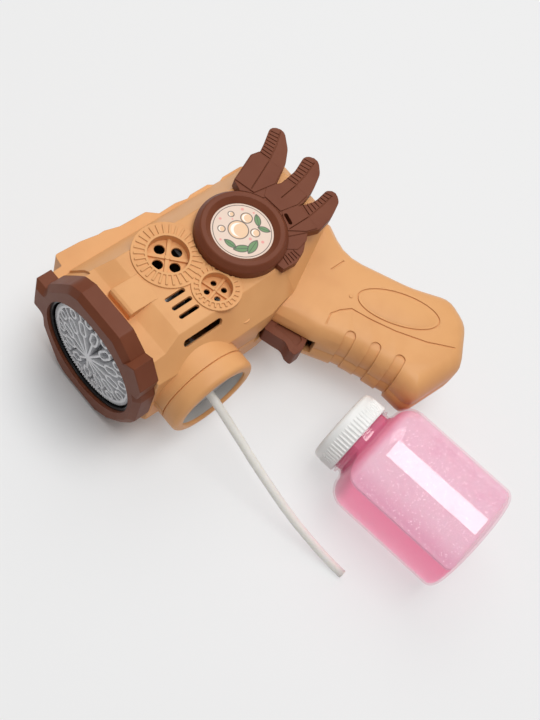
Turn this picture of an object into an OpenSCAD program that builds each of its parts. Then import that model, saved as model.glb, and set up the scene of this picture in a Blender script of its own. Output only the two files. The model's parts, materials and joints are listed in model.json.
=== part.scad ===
// Battery-driven bubble blower with a turning bubble disc, lying on its right side, with its bottle.
// Working frame of the modules: x runs back from the bezel's front, y is the blower's own up,
// z points out of its left side from the parting plane. All sizes are in millimetres.

/* [Bezel] */
// Half of the width across the side flats of the bezel, on which the blower lies
half_width = 46; // [44:0.5:50]
// Half of the height of a side flat
flat_half = 15; // [10:0.5:18]
// Depth of the bezel from front to back
bezel_depth = 12; // [12:0.5:16]
// Depth of the sloping band round the front
bezel_chamfer = 3; // [2:0.25:4]
// How far the front face stands in from the outline
bezel_inset = 3.6; // [2:0.2:4.5]
// Height of the block on top of the bezel
block_top = 48.5; // [46:0.5:54]
// Half of the width of that block
block_half = 12; // [9:0.5:14]
// Radius of the opening in front of the disc
opening_r = 34.2; // [33:0.1:35]
// Thickness of the lip round the opening
lip = 2; // [1.8:0.1:3]

/* [Body] */
// How far the badge stands out from the flat side of the body
badge_h = 9; // [8:0.25:9.5]
// Length of the body, to its rear end
body_len = 166; // [164:1:175]
// Height of the top edge above the muzzle axis
body_top = 43; // [42:0.5:46]
// Depth of the underside below the muzzle axis
body_low = 43; // [42:0.5:45]
// Wall of the mouldings
wall = 2.2; // [1.6:0.1:2.6]
// Half of the width of the spine on top
spine_half = 10.5; // [9:0.5:12]

/* [Disc and tray] */
// Radius of the bubble disc over its comb of ribs
disc_r = 31.6; // [31:0.1:32]
// Distance of the disc's face behind the bezel's front
disc_x = 1; // [0.8:0.1:1.2]
// Depth of the disc's walls at the hub
disc_deep = 6; // [5.8:0.1:6.2]
// How far the rim lies behind the hub
disc_dome = 2.8; // [2.4:0.1:3.2]
// Count of spokes on the disc
disc_spokes = 12; // [8:1:14]
// Count of ribs in the comb round the disc
disc_comb = 120; // [90:2:130]
// Radius of the steel shafts
shaft_r = 1.5; // [1.2:0.1:2]
// Radius of the motor's shaft
motor_shaft_r = 1; // [0.8:0.1:1.2]
// Radial clearance of a running shaft
run_fit = 0.05; // [0.02:0.01:0.09]

/* [Drive] */
// Module of the gear teeth
gear_m = 0.75; // [0.7:0.01:0.78]
// Teeth on the motor pinion and on the small step of the compound gear
z_small = 10; // [10:1:11]
// Teeth on the large step of the compound gear
z_large = 32; // [30:1:33]
// Teeth on the layshaft's gear
z_lay = 32; // [30:1:33]
// Teeth on the layshaft's front pinion
z_front = 12; // [12:1:13]
// Teeth on the ring behind the disc
z_disc = 60; // [58:1:60]
// Teeth on the pump's gear
z_pump = 36; // [34:1:37]
// Radius of the motor's can
motor_r = 12; // [10:0.5:12.5]
// Length of the motor's can
motor_len = 26; // [22:0.5:27]
// Radius of the fan's blades
fan_r = 21.5; // [18:0.5:21.5]
// Count of fan blades
fan_blades = 5; // [3:1:7]

/* [Bottle socket] */
// Distance of the socket's axis behind the bezel's front
socket_x = 41; // [40:0.5:42]
// Outer radius of the socket
socket_r = 27; // [26.5:0.25:28]
// Radius of the socket's bore
socket_bore = 21.2; // [21:0.1:22]
// Depth of the socket's rim below the muzzle axis
socket_low = 58; // [56:0.5:60]
// Height of the collar
collar_h = 11; // [10:0.5:12]
// Outer radius of the hoses
hose_r = 2.5; // [2:0.1:2.6]

/* [Badge and wing] */
// Distance of the badge's centre behind the bezel's front
badge_x = 97.5; // [96:0.5:99]
// Height of the badge's centre
badge_y = -1; // [-3:0.5:2]
// Outer radius of the badge ring
badge_r = 25.7; // [24.5:0.1:26.5]
// Radius of the printed disc
print_r = 17.3; // [15:0.1:18]
// Thickness of the wing
wing_t = 5; // [3.5:0.25:6]

/* [Handle and trigger] */
// Half of the thickness of the handle
grip_half = 17.5; // [17:0.25:19]
// Half of the thickness of the trigger
trigger_half = 6; // [5:0.25:6.5]
// Side clearance of the trigger
trigger_gap = 0.4; // [0.3:0.05:0.6]
// Diameter of a battery cell
cell_d = 14.2; // [13.8:0.1:14.4]
// Length of a battery cell
cell_len = 50.5; // [48:0.5:51]

/* [Bottle] */
// Outer radius of the bottle
bottle_r = 34.5; // [32:0.5:37]
// Length of the bottle's body below its neck
bottle_len = 78; // [72:1:84]
// Outer radius of the neck
neck_r = 20.5; // [19.5:0.1:21]
// Wall of the bottle
bottle_wall = 1.2; // [0.9:0.1:1.6]
// Radius of the cap over its ribs
cap_r = 22.8; // [22.4:0.1:24]
// Height of the cap
cap_h = 14; // [13:0.5:15]
// Count of ribs round the cap
cap_ribs = 60; // [40:2:72]
// Height of the liquid above the surface that the bottle lies on
liquid_z = 49; // [20:1:56]
// Angle of the bottle's axis to the blower's length
bottle_yaw = -82; // [-88:1:-76]

/* [Hidden] */
$fn = 64;

caramel = "#eab077";
brown = "#6f432f";
black = "#1b1a1a";
pale = "#c9c9c9";
steel = "#b9bcc0";
white = "#f2f2f0";

touch = 0.02;
gap = 0.3;
n_arc = 5;

// Centre of the flat on which the bezel rests is the origin of the part
rest_x = (bezel_chamfer + bezel_depth) / 2;
// Flat side of the body, measured from the parting plane
side_z = half_width - badge_h;

// Plane geometry
function unit(a) = a / norm(a);
function turned(a, t) = [a.x * cos(t) - a.y * sin(t), a.x * sin(t) + a.y * cos(t)];
function flat(p) = [p.x, p.y];
function left_of(a) = [-a.y, a.x];
function bend(p, q, s) = sign(cross(q - p, s - q));

// Arc of about radius r that replaces the corner q between p and s, in n steps that aren't too short
least_step = 0.3;
function fillet(p, q, s, r0, n) =
    let (a = unit(p - q), b = unit(s - q), half = acos(max(-1, min(1, a * b))) / 2)
    let (r = max(r0, n * least_step / ((180 - 2 * half) * PI / 180)))
    let (mid = q + unit(a + b) * r / sin(half), from = q + a * r / tan(half) - mid)
    [for (i = [0:n]) mid + turned(from, bend(p, q, s) * (180 - 2 * half) * i / n)];

// Outline with round corners, from points [x, y, radius] in counter-clockwise order
function rounded(pts, n = n_arc) = [
    for (i = [0:len(pts) - 1])
        let (p = pts[(i + len(pts) - 1) % len(pts)], q = pts[i], s = pts[(i + 1) % len(pts)])
        each fillet(flat(p), flat(q), flat(s), q[2], n)
];

// The same points moved in by t along the edges' normals
function inset(pts, t) = [
    for (i = [0:len(pts) - 1])
        let (p = flat(pts[(i + len(pts) - 1) % len(pts)]), q = flat(pts[i]))
        let (s = flat(pts[(i + 1) % len(pts)]), a = left_of(unit(q - p)), b = left_of(unit(s - q)))
        let (m = q + (a + b) * t / (1 + a * b))
        [m.x, m.y, max(0.3, pts[i][2] - t * bend(p, q, s))]
];

// Closed skin through a stack of outlines, given as [height, points]
module loft(levels, n = n_arc) {
    rings = [for (l = levels) rounded(l[1], n)];
    m = len(rings[0]);
    k = len(rings);
    polyhedron(
        points = [for (i = [0:k - 1]) for (q = rings[i]) [q.x, q.y, levels[i][0]]],
        faces = concat(
            [[for (j = [0:m - 1]) j]],
            [[for (j = [m - 1:-1:0]) (k - 1) * m + j]],
            [for (i = [0:k - 2]) for (j = [0:m - 1])
                each [[i * m + j, (i + 1) * m + j, (i + 1) * m + (j + 1) % m],
                      [i * m + j, (i + 1) * m + (j + 1) % m, i * m + (j + 1) % m]]]
        ),
        convexity = 8
    );
}

// Tube of radius r along a list of points
function tangents(p) = [for (i = [0:len(p) - 1]) unit(p[min(i + 1, len(p) - 1)] - p[max(i - 1, 0)])];
function carried(t, n, i = 0) =
    i == len(t) ? [] : let (k = unit(n - (n * t[i]) * t[i])) concat([k], carried(t, k, i + 1));
module tube(path, r, sides, start) {
    t = tangents(path);
    n = carried(t, start);
    k = len(path);
    polyhedron(
        points = [for (i = [0:k - 1]) for (j = [0:sides - 1])
            path[i] + r * (cos(360 * j / sides) * n[i] + sin(360 * j / sides) * cross(t[i], n[i]))],
        faces = concat(
            [[for (j = [0:sides - 1]) j]],
            [[for (j = [sides - 1:-1:0]) (k - 1) * sides + j]],
            [for (i = [0:k - 2]) for (j = [0:sides - 1]) let (h = (j + 1) % sides)
                each [[i * sides + j, (i + 1) * sides + j, (i + 1) * sides + h],
                      [i * sides + j, (i + 1) * sides + h, i * sides + h]]]
        ),
        convexity = 12
    );
}

// Places of pieces
module place() translate([-rest_x, 0, half_width]) children();
module across() mirror([0, 0, 1]) children();
// Sketches in y and z drawn out along x
module along_x(x = 0, y = 0, z = 0) translate([x, y, z]) rotate([90, 0, 90]) children();
// Turned shapes about a line that runs down from the given place
module downward(x, y, z = 0) translate([x, y, z]) rotate([90, 0, 0]) children();
module ring(r_out, r_in, h) {
    difference() {
        cylinder(r = r_out, h = h);
        translate([0, 0, -1]) cylinder(r = r_in, h = h + 2);
    }
}

// Bezel
bezel_side = [
    [-40, block_half, 3], [-37.5, 19, 3], [-31, 31, 1], [-26, half_width - 8, 1], [-flat_half, half_width, 2],
    [flat_half, half_width, 2], [23, half_width - 4, 12], [31, 31, 12], [38.5, 20, 8], [40, block_half, 0.5],
    [block_top, block_half, 1]
];
bezel_outline = concat(
    [for (p = bezel_side) [p.x, -p.y, p[2]]],
    [for (i = [len(bezel_side) - 1:-1:0]) bezel_side[i]]
);
tray_r = opening_r + 3.2;

module front_bezel() {
    over = 1;
    slant = bezel_inset / bezel_chamfer;
    color(brown) place() difference() {
        difference() {
            along_x() loft([[-over, inset(bezel_outline, bezel_inset + over * slant)], [bezel_chamfer, bezel_outline],
                            [bezel_depth + over, bezel_outline]], 4);
            translate([-9, -60, -60]) cube([9, 120, 120]);
            translate([bezel_depth, -60, -60]) cube([9, 120, 120]);
        }
        along_x(-1) cylinder(r = opening_r, h = bezel_depth + 2);
        along_x(lip) cylinder(r = tray_r + touch, h = bezel_depth);
    }
}

// Drip tray: a trough round the disc, with a spider that carries the disc's axle
tray_wall = 1.4;
tray_back = bezel_depth;
spider_t = 1.6;
hub_r = 4.5;
tray_inner = disc_r + 1.1;
tray_rear_bore = 26;

module drip_tray() {
    color(black) place() difference() {
        union() {
            along_x(lip) ring(tray_r, tray_inner, tray_wall);
            along_x(lip) ring(tray_r, tray_r - tray_wall, tray_back - lip);
            along_x(tray_back - spider_t) ring(tray_r, tray_rear_bore, spider_t);
            along_x(tray_back - spider_t) cylinder(r = hub_r, h = spider_t);
            for (i = [0:2])
                along_x(tray_back - spider_t) rotate(60 + 120 * i)
                    translate([0, -spider_t, 0]) cube([tray_rear_bore + 1, 2 * spider_t, spider_t]);
        }
        along_x(0) cylinder(r = shaft_r + run_fit, h = bezel_depth * 2);
        along_x(tray_back - spider_t - 1, lay_y) cylinder(r = shaft_r + run_fit, h = 4);
        along_x(tray_back - spider_t - 1, feed_y, feed_z) cylinder(r = tube_r, h = 4);
    }
}

// Bubble disc: a domed lace of thin deep walls, with spokes, two rows of oval loops and a comb round the rim
mid_r = 18.5;
mid_loop = [10.5, 6.2];
outer_r = 25.8;
outer_loop = [6.6, 6];
loop_wall = 1.3;
hub_flat = 4;
ring_gear_t = 2.7;
ring_bore = 19.2;
disc_back = disc_x + disc_deep;

module oval(long, wide, h) {
    linear_extrude(h) union() {
        translate([-(long - wide) / 2, -wide / 2]) square([long - wide, wide]);
        for (s = [-1, 1]) translate([s * (long - wide) / 2, 0]) circle(d = wide, $fn = 24);
    }
}
module loops(radius, loop, thinner, h, shift) {
    for (i = [0:disc_spokes - 1])
        rotate(360 / disc_spokes * (i + shift)) translate([radius, 0, 0])
            oval(loop[0] - thinner, loop[1] - thinner, h);
}
comb_deep = 1.6;
rim_r = disc_r - comb_deep;
rim_w = 1.4;
rim_rise = 0.3;
comb = [
    for (i = [0:disc_comb - 1]) let (a = 360 / disc_comb, f = [-0.3, -0.2, 0.2, 0.3])
        for (j = [0:3]) let (r = j == 0 || j == 3 ? rim_r : disc_r)
            r * [cos(a * (i + f[j])), sin(a * (i + f[j]))]
];
module bars(from, to) {
    for (i = [0:disc_spokes - 1])
        rotate(360 / disc_spokes * i) translate([from, -loop_wall / 2, 0]) cube([to - from, loop_wall, disc_deep]);
}
module lace() {
    difference() {
        union() {
            cylinder(r = 2.6, h = disc_deep);
            bars(0, mid_r - mid_loop[0] / 2 + loop_wall / 2);
            bars(mid_r + mid_loop[0] / 2 - loop_wall / 2, rim_r - rim_w / 2);
            loops(mid_r, mid_loop, 0, disc_deep, 0);
            loops(outer_r, outer_loop, 0, disc_deep, 0.5);
        }
        translate([0, 0, -1]) loops(mid_r, mid_loop, 2 * loop_wall, disc_deep + 2, 0);
        translate([0, 0, -1]) loops(outer_r, outer_loop, 2 * loop_wall, disc_deep + 2, 0.5);
    }
}
module dome() {
    rotate_extrude() polygon([[0, 0], [hub_flat, 0], [disc_r, disc_dome], [disc_r + 1, disc_dome],
                              [disc_r + 1, disc_deep], [0, disc_deep]]);
}
module comb_rim() {
    translate([0, 0, disc_dome - rim_rise]) difference() {
        linear_extrude(disc_deep - disc_dome + rim_rise) polygon(comb);
        translate([0, 0, -1]) cylinder(r = rim_r - rim_w, h = disc_deep + 2);
    }
}
module bubble_disc() {
    color(pale) place() along_x(disc_x) difference() {
        union() {
            intersection() {
                lace();
                dome();
            }
            comb_rim();
            translate([0, 0, disc_deep - touch]) difference() {
                linear_extrude(ring_gear_t) polygon(teeth(z_disc, phase_disc));
                translate([0, 0, -1]) cylinder(r = ring_bore, h = 9);
            }
            translate([0, 0, disc_deep - touch]) cylinder(r = hub_r, h = tray_back - spider_t - gap - disc_back);
        }
        translate([0, 0, 0.8]) cylinder(r = shaft_r + touch, h = 20);
    }
}
axle_end = tray_back + 2;
module disc_axle() {
    color(steel) place() along_x(disc_x + 0.8) cylinder(r = shaft_r, h = axle_end - disc_x - 0.8);
}
module axle_clip() {
    color(steel) place() along_x(tray_back + gap) ring(shaft_r + 1.7, shaft_r + touch, 0.8);
}

// Gear teeth: involute flanks from the base circle, with a little play
press_angle = 25;
addendum = 0.8;
dedendum = 1.1;
play = 0.06;
function inv(a) = tan(a) * 180 / PI - a;
function pitch_r(z) = gear_m * z / 2;
function flank(z, r) =
    let (rb = pitch_r(z) * cos(press_angle), c = acos(min(1, rb / max(r, rb))))
    90 / z + inv(press_angle) - inv(c) - play / pitch_r(z) * 180 / PI;
function tooth_radii(z) =
    [pitch_r(z) - dedendum * gear_m, max(pitch_r(z) * cos(press_angle), pitch_r(z) - 0.5 * gear_m),
     pitch_r(z), pitch_r(z) + addendum * gear_m];
function teeth(z, phase) = [
    for (i = [0:z - 1]) let (a = phase + 360 / z * i, rr = tooth_radii(z))
        each concat(
            [for (r = rr) r * [cos(a - flank(z, r)), sin(a - flank(z, r))]],
            [for (k = [len(rr) - 1:-1:0]) rr[k] * [cos(a + flank(z, rr[k])), sin(a + flank(z, rr[k]))]])
];
// Turn of a gear that puts its gap on the tooth of the gear it meets, at the given direction
function meshed(phase, z_a, z_b, dir) = dir + 180 - ((phase - dir) * z_a + 180) / z_b;

// Axes of the train, in y and z
lay_y = pitch_r(z_disc) + pitch_r(z_front);
far = pitch_r(z_small) + pitch_r(z_large);
near = pitch_r(z_small) + pitch_r(z_lay);
comp_y = (far * far - near * near + lay_y * lay_y) / (2 * lay_y);
comp_z = sqrt(far * far - comp_y * comp_y);
pump_y = comp_y - pitch_r(z_small) - pitch_r(z_pump);
pump_z = comp_z;
dir_comp = atan2(comp_z, comp_y);
dir_lay = atan2(-comp_z, lay_y - comp_y);
phase_motor = 0;
phase_comp = meshed(phase_motor, z_small, z_large, dir_comp);
phase_step = 0;
phase_lay = meshed(phase_step, z_small, z_lay, dir_lay);
phase_pump = meshed(phase_step, z_small, z_pump, 180);
phase_front = 0;
phase_disc = meshed(phase_front, z_front, z_disc, 180);

// Fan and its shroud
shroud_t = 1.4;
shroud_r = fan_r + 1;
shroud_x = bezel_depth + wall;
flange_r = 29.8;
air_r = 28.8;
shroud_end = 33;
fan_x = 20;
fan_len = 10;
motor_x = 34.5;
boss_r = 3;
boss_h = 1.5;

module fan_shroud() {
    color(black) place() difference() {
        union() {
            along_x(shroud_x) rotate_extrude() polygon([
                [shroud_r, 0], [flange_r, 0], [flange_r, shroud_t], [shroud_r + shroud_t, shroud_t],
                [shroud_r + shroud_t, shroud_end - shroud_x], [shroud_r, shroud_end - shroud_x]]);
            along_x(motor_x - 2.4) cylinder(r = motor_r + 1.8, h = 11);
            for (i = [0:2])
                along_x(shroud_end - 3) rotate(60 + 120 * i)
                    translate([motor_r, -1.2, 0]) cube([shroud_r - motor_r + 0.7, 2.4, 3]);
        }
        along_x(motor_x) cylinder(r = motor_r + touch, h = 20);
        along_x(motor_x - 4) cylinder(r = boss_r + touch, h = 8);
        along_x(shroud_x - 1, lay_y) cylinder(r = shaft_r + run_fit, h = 4);
    }
}
module fan() {
    color(pale) place() difference() {
        union() {
            along_x(fan_x) cylinder(r = 5, h = fan_len);
            intersection() {
                along_x(fan_x) cylinder(r = fan_r, h = fan_len);
                for (i = [0:fan_blades - 1])
                    along_x(fan_x + fan_len / 2) rotate(360 / fan_blades * i) rotate([35, 0, 0])
                        translate([3.5, -8, -0.6]) cube([fan_r, 16, 1.2]);
            }
        }
        along_x(fan_x - 1) cylinder(r = motor_shaft_r + touch, h = fan_len + 2);
    }
}

// Motor
motor_end = motor_x + motor_len;
cap_t = 2.6;
frame_t = 2;
frame_x = motor_end + cap_t + boss_h;
module motor_can() {
    color(steel) place() difference() {
        union() {
            along_x(motor_x) cylinder(r = motor_r, h = motor_len);
            along_x(motor_x - boss_h) cylinder(r = boss_r, h = boss_h + 1);
        }
        along_x(motor_x - 3) cylinder(r = motor_shaft_r + run_fit, h = motor_len + 6);
    }
}
module motor_end_cap() {
    color(black) place() difference() {
        union() {
            along_x(motor_end) cylinder(r = motor_r - 0.8, h = cap_t);
            along_x(motor_end) cylinder(r = boss_r, h = cap_t + boss_h);
        }
        along_x(motor_end - 1) cylinder(r = motor_shaft_r + run_fit, h = cap_t + boss_h + 2);
    }
}
pinion_x = frame_x + frame_t + 1;
face_1 = 4.5;
face_2 = 4.5;
step_x = pinion_x + face_1;
lay_gear_x = step_x + 1.5;
cover_x = lay_gear_x + face_2 + 1.2;
module motor_shaft() {
    color(steel) place() along_x(fan_x) cylinder(r = motor_shaft_r, h = pinion_x + face_1 - fan_x);
}
module gear(z, face, bore, phase) {
    difference() {
        linear_extrude(face) polygon(teeth(z, phase));
        translate([0, 0, -1]) cylinder(r = bore, h = face + 2);
    }
}
module motor_pinion() {
    color("goldenrod") place() along_x(pinion_x) gear(z_small, face_1, motor_shaft_r + touch, phase_motor);
}

// Gear frame: front plate with pillars, and the cover that closes it
well = 3.4;
well_t = 1.2;
frame_half = side_z - well - well_t - gap;
frame_low = 14;
rib_hold = 1;
pillar_r = 3;
pillars = [[-9, frame_half - 4], [-9, 4 - frame_half], [20, 6 - frame_half]];
module frame_plate() {
    linear_extrude(frame_t) polygon(rounded([
        [-frame_low, -frame_half, 2], [22, -frame_half, 2], [37, -12, 2], [37, 12, 2],
        [22, frame_half, 2], [-frame_low, frame_half, 2]]));
}
module frame_bores(x) {
    along_x(x - 1, comp_y, comp_z) cylinder(r = shaft_r + touch, h = frame_t + 2);
    along_x(x - 1, lay_y) cylinder(r = shaft_r + run_fit, h = frame_t + 2);
    along_x(x - 1, pump_y, pump_z) cylinder(r = shaft_r + run_fit, h = frame_t + 2);
}
module gear_frame() {
    color(black) place() difference() {
        union() {
            along_x(frame_x) frame_plate();
            for (p = pillars)
                along_x(frame_x + frame_t - touch, p.x, p.y)
                    cylinder(r = pillar_r, h = cover_x - frame_x - frame_t + touch);
        }
        frame_bores(frame_x);
        along_x(frame_x - 1) cylinder(r = motor_shaft_r + gap, h = frame_t + 2);
    }
}
module gear_frame_cover() {
    color(black) place() difference() {
        along_x(cover_x) frame_plate();
        frame_bores(cover_x);
    }
}
module compound_gear() {
    color(white) place() along_x(pinion_x, comp_y, comp_z) {
        gear(z_large, face_1, shaft_r + run_fit, phase_comp);
        translate([0, 0, face_1]) gear(z_small, cover_x - step_x - gap, shaft_r + run_fit, phase_step);
    }
}
module compound_pin() {
    color(steel) place() along_x(frame_x, comp_y, comp_z)
        cylinder(r = shaft_r, h = cover_x + frame_t - frame_x);
}
front_x = disc_back + gap;
module layshaft() {
    color(steel) place() along_x(front_x, lay_y) cylinder(r = shaft_r, h = cover_x + frame_t - front_x);
}
module layshaft_gear() {
    color(white) place() along_x(lay_gear_x, lay_y) gear(z_lay, face_2, shaft_r + touch, phase_lay);
}
module front_pinion() {
    color(white) place() along_x(front_x, lay_y) gear(z_front, ring_gear_t - gap, shaft_r + touch, phase_front);
}

// Pump: a rotor with three rollers that run along a bent tube
tube_r = 2;
bend_r = 12.5;
roller_r = 2.6;
roller_at = bend_r - tube_r - roller_r - 0.2;
housing_x = cover_x + frame_t;
housing_len = 12;
housing_r = bend_r + tube_r + 2.2;
tube_x = housing_x + 7;
feed_y = -21;
feed_z = 24;
module pump_shaft() {
    color(steel) place() along_x(frame_x, pump_y, pump_z)
        cylinder(r = shaft_r, h = housing_x + housing_len - 1 - frame_x);
}
module pump_gear() {
    color(white) place() along_x(lay_gear_x, pump_y, pump_z) gear(z_pump, face_2, shaft_r + touch, phase_pump);
}
module pump_rotor() {
    color(pale) place() along_x(housing_x + 2.6, pump_y, pump_z) difference() {
        union() {
            cylinder(r = 4, h = 8);
            for (i = [0:2]) rotate(30 + 120 * i) {
                translate([0, -1.5, 0]) cube([roller_at, 3, 1.2]);
                translate([roller_at, 0, 0]) cylinder(r = 1, h = 8);
                translate([roller_at, 0, 0]) cylinder(r = 2, h = 1.2);
            }
        }
        translate([0, 0, -1]) cylinder(r = shaft_r + touch, h = 12);
    }
}
module pump_rollers() {
    color(black) place() along_x(housing_x + 4, pump_y, pump_z)
        for (i = [0:2]) rotate(30 + 120 * i) translate([roller_at, 0, 0]) ring(roller_r, 1 + run_fit, 6.4);
}
module pump_housing() {
    color(black) place() difference() {
        along_x(housing_x, pump_y, pump_z) difference() {
            cylinder(r = housing_r, h = housing_len);
            translate([0, 0, 2]) cylinder(r = housing_r - 2, h = housing_len);
            translate([0, 0, -1]) cylinder(r = shaft_r + run_fit, h = 4);
            translate([-housing_r - 1, -housing_r - 1, 2]) cube([housing_r + 1, 2 * housing_r + 2, housing_len]);
        }
    }
}

// Tube from the socket, round the pump and on to the tray: straight runs and round bends
turn_r = 8;
low_y = -26;
nipple_y = -44.5;
function arc(mid, a, b, from, to, n) = [
    for (i = [0:n]) let (t = from + (to - from) * i / n) mid + cos(t) * a + sin(t) * b
];
feed_in_z = pump_z - bend_r;
feed_out_z = pump_z + bend_r;
tube_path = concat(
    [[socket_x, nipple_y, 0]],
    arc([socket_x + turn_r, low_y - turn_r, 0], [-turn_r, 0, 0], [0, turn_r, 0], 0, 90, 5),
    arc([tube_x - turn_r, low_y + turn_r, feed_in_z], [turn_r, 0, 0], [0, turn_r, 0], -90, 0, 5),
    arc([tube_x, pump_y, pump_z], [0, 0, -bend_r], [0, bend_r, 0], 0, 180, 12),
    arc([tube_x - turn_r, feed_y + turn_r, feed_out_z], [turn_r, 0, 0], [0, -turn_r, 0], 0, 90, 5),
    [[tray_back + 6, feed_y, feed_z], [tray_back - 1, feed_y, feed_z]]
);
module pump_tube() {
    color([0.9, 0.9, 0.86]) place() tube(tube_path, tube_r - 0.1, 8, [0, 0, 1]);
}

// Bottle socket
collar_top = socket_low - collar_h;
seal_top = collar_top + 1.2;
seal_t = 2.4;
mouth_lip = 2;
cup_deep = collar_h - mouth_lip - touch - (seal_top - collar_top);
module bottle_collar() {
    color(caramel) place() downward(socket_x, -collar_top) rotate_extrude()
        polygon(concat(
            [[socket_bore, collar_h - mouth_lip], [socket_bore + 2, collar_h - mouth_lip],
             [socket_bore + 2, 0], [socket_r - 0.8, 0], [socket_r, 0.8]],
            [for (i = [0:6]) let (t = i * 15) [socket_r - 3 + 3 * cos(t), collar_h - 3 + 3 * sin(t)]],
            [[socket_bore + 0.8, collar_h], [socket_bore, collar_h - 0.8]]));
}
module socket_seal() {
    color(pale) place() downward(socket_x, -seal_top) difference() {
        union() {
            cylinder(r = socket_bore + 2 - touch, h = seal_t);
            ring(socket_bore + 2 - touch, socket_bore + 0.6, cup_deep);
            translate([0, 0, -2.4]) cylinder(r = hose_r + 1.6, h = 3);
            translate([0, 0, seal_t - touch]) cylinder(r = hose_r + 1.4, h = 2);
        }
        translate([0, 0, seal_t - 1.6]) cylinder(r = hose_r + gap / 2, h = 9);
        translate([0, 0, -4]) cylinder(r = tube_r, h = 4.6);
        for (i = [0:3]) rotate(45 + 90 * i) translate([12, 0, -1]) cylinder(r = 1.6, h = seal_t + 2);
    }
}
// Free hose from the seal to the surface
hose_route = [
    [41, -49.2, 0], [41, -53.5, 0], [41.3, -58, -1.6], [42, -64, -5], [42.5, -72, -9], [43, -82, -13.6],
    [43.2, -92, -18], [43.5, -102, -22], [44, -112, -26], [44.6, -123, -30.2], [45.6, -134, -34.2],
    [47, -145, -37.8], [48.4, -155, -40.6], [49.8, -164, -42.6], [51, -171, -43.4]
];
module suction_hose() {
    color([0.88, 0.87, 0.84]) place() tube(hose_route, hose_r, 12, [0, 0, 1]);
}

// Housing halves: the body is where its side view, its cross-section and its plan meet
top_flat = spine_half + 0.5;
ridge_y = 25;
under_z = 20;
lower_y = 28;
front_half = side_z - 4.5;
side_view = [
    [bezel_depth, -40, 1], [86, -body_low, 12], [112, -38, 12], [body_len - 14, -20, 12], [body_len, -12, 3],
    [body_len - 1, 30, 8], [body_len - 12, body_top, 6], [bezel_depth, body_top - 1, 1]
];
cross_half = [
    [-body_low - 3, 0, 1], [-42, under_z, 2], [-lower_y, side_z, 2], [ridge_y, side_z, 1.5],
    [body_top, top_flat, 1], [body_top + 3, 0, 1]
];
cross_section = concat(
    [for (q = cross_half) [q.x, -q.y, q[2]]],
    [for (i = [len(cross_half) - 2:-1:1]) cross_half[i]]
);
plan_half = [
    [bezel_depth, front_half, 1], [22, front_half + 0.6, 1], [33, side_z + touch, 1],
    [body_len - 20, side_z + touch, 3], [body_len - 13, side_z - 5, 5], [body_len - 5, under_z, 8], [body_len, 6, 3]
];
plan = concat(
    [for (q = plan_half) [q.x, -q.y, q[2]]],
    [for (i = [len(plan_half) - 1:-1:0]) plan_half[i]]
);
// Slope under the rear: through this line on the flat side, out to the lower edge
rear_from = [107, -27];
rear_turn = 26;
rear_tilt = 31.7;
module rear_slope(t) {
    translate([rear_from.x, rear_from.y, side_z - t]) rotate(rear_turn) rotate([-rear_tilt, 0, 0])
        translate([-70, -80, -90]) cube([160, 80 + t, 180]);
}
module body_solid(t) {
    difference() {
        intersection() {
            translate([0, 0, -side_z]) linear_extrude(2 * side_z - t) polygon(rounded(inset(side_view, t), 3));
            along_x(0) linear_extrude(200) polygon(rounded(inset(cross_section, t), 2));
            translate([0, 60, 0]) rotate([90, 0, 0]) linear_extrude(120) polygon(rounded(inset(plan, t), 2));
        }
        rear_slope(t);
    }
}
grip = [
    [94, -38, 1], [104.8, -63, 1.5], [118, -84, 30], [125.5, -106, 40], [127, -125.5, 6],
    [165, -128.5, 14], [187, -111, 18], [191, -93, 13], [176, -73, 70], [157.5, -36, 25],
    [164.5, -15, 4], [150, -2, 2], [118, -6, 2]
];
below = 3;
grip_levels = [[0.45, 0.2], [0.72, 1.6], [0.92, 5], [1.04, 11]];
module grip_solid() {
    difference() {
        loft(concat([[-below, grip]], [for (l = grip_levels) [l[0] * grip_half, inset(grip, l[1])]]), 3);
        translate([60, -150, grip_half]) cube([160, 180, 9]);
    }
}
// Hollow of the grip in two steps, so that its wall follows the round side
module grip_hollow() {
    translate([0, 0, -below - 2]) linear_extrude(below + 2 + 0.6 * grip_half) polygon(rounded(inset(grip, 4), 3));
    translate([0, 0, -below - 3]) linear_extrude(below + 3 + grip_half - wall) polygon(rounded(inset(grip, 8), 3));
}

// Relief gears on the sides
big = [57.5, 11.4, 20, 11.3, 3, 6.6, 30, 45];
small = [66.5, -18, 13.8, 8.5, 1.65, 4.7, 24, 17];
relief = 0.8;
module cog(r_in, r_out, n, share) {
    polygon([for (i = [0:n - 1]) let (a = 360 / n, h = a * share / 2)
        each [r_in * [cos(a * i - h), sin(a * i - h)], r_out * [cos(a * i - h * 0.75), sin(a * i - h * 0.75)],
              r_out * [cos(a * i + h * 0.75), sin(a * i + h * 0.75)], r_in * [cos(a * i + h), sin(a * i + h)]]]);
}
module relief_add(g) {
    translate([g[0], g[1], side_z - 0.6]) {
        cylinder(r = g[2], h = relief + 0.6);
        linear_extrude(relief + 1.2) cog(g[3] + 1.4, g[2] - 1.6, g[6], 0.42);
    }
    translate([g[0], g[1], side_z - well - well_t]) cylinder(r = g[3] + wall, h = well);
}
module relief_cut(g) {
    translate([g[0], g[1], side_z - well]) difference() {
        cylinder(r = g[3], h = well + 4);
        for (i = [0:1]) rotate(g[7] + 90 * i)
            translate([-g[3] - 1, -g[4] * 0.22 - 0.4, -1]) cube([2 * g[3] + 2, g[4] * 0.44 + 0.8, 2.2]);
        translate([0, 0, -1]) cylinder(r = g[4] * 0.5, h = 2.6);
    }
    for (i = [0:3]) translate([g[0], g[1], side_z - well - 3]) rotate(g[7] + 45 + 90 * i)
        translate([g[5], 0, 0]) cylinder(r = g[4], h = 9);
}
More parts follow.
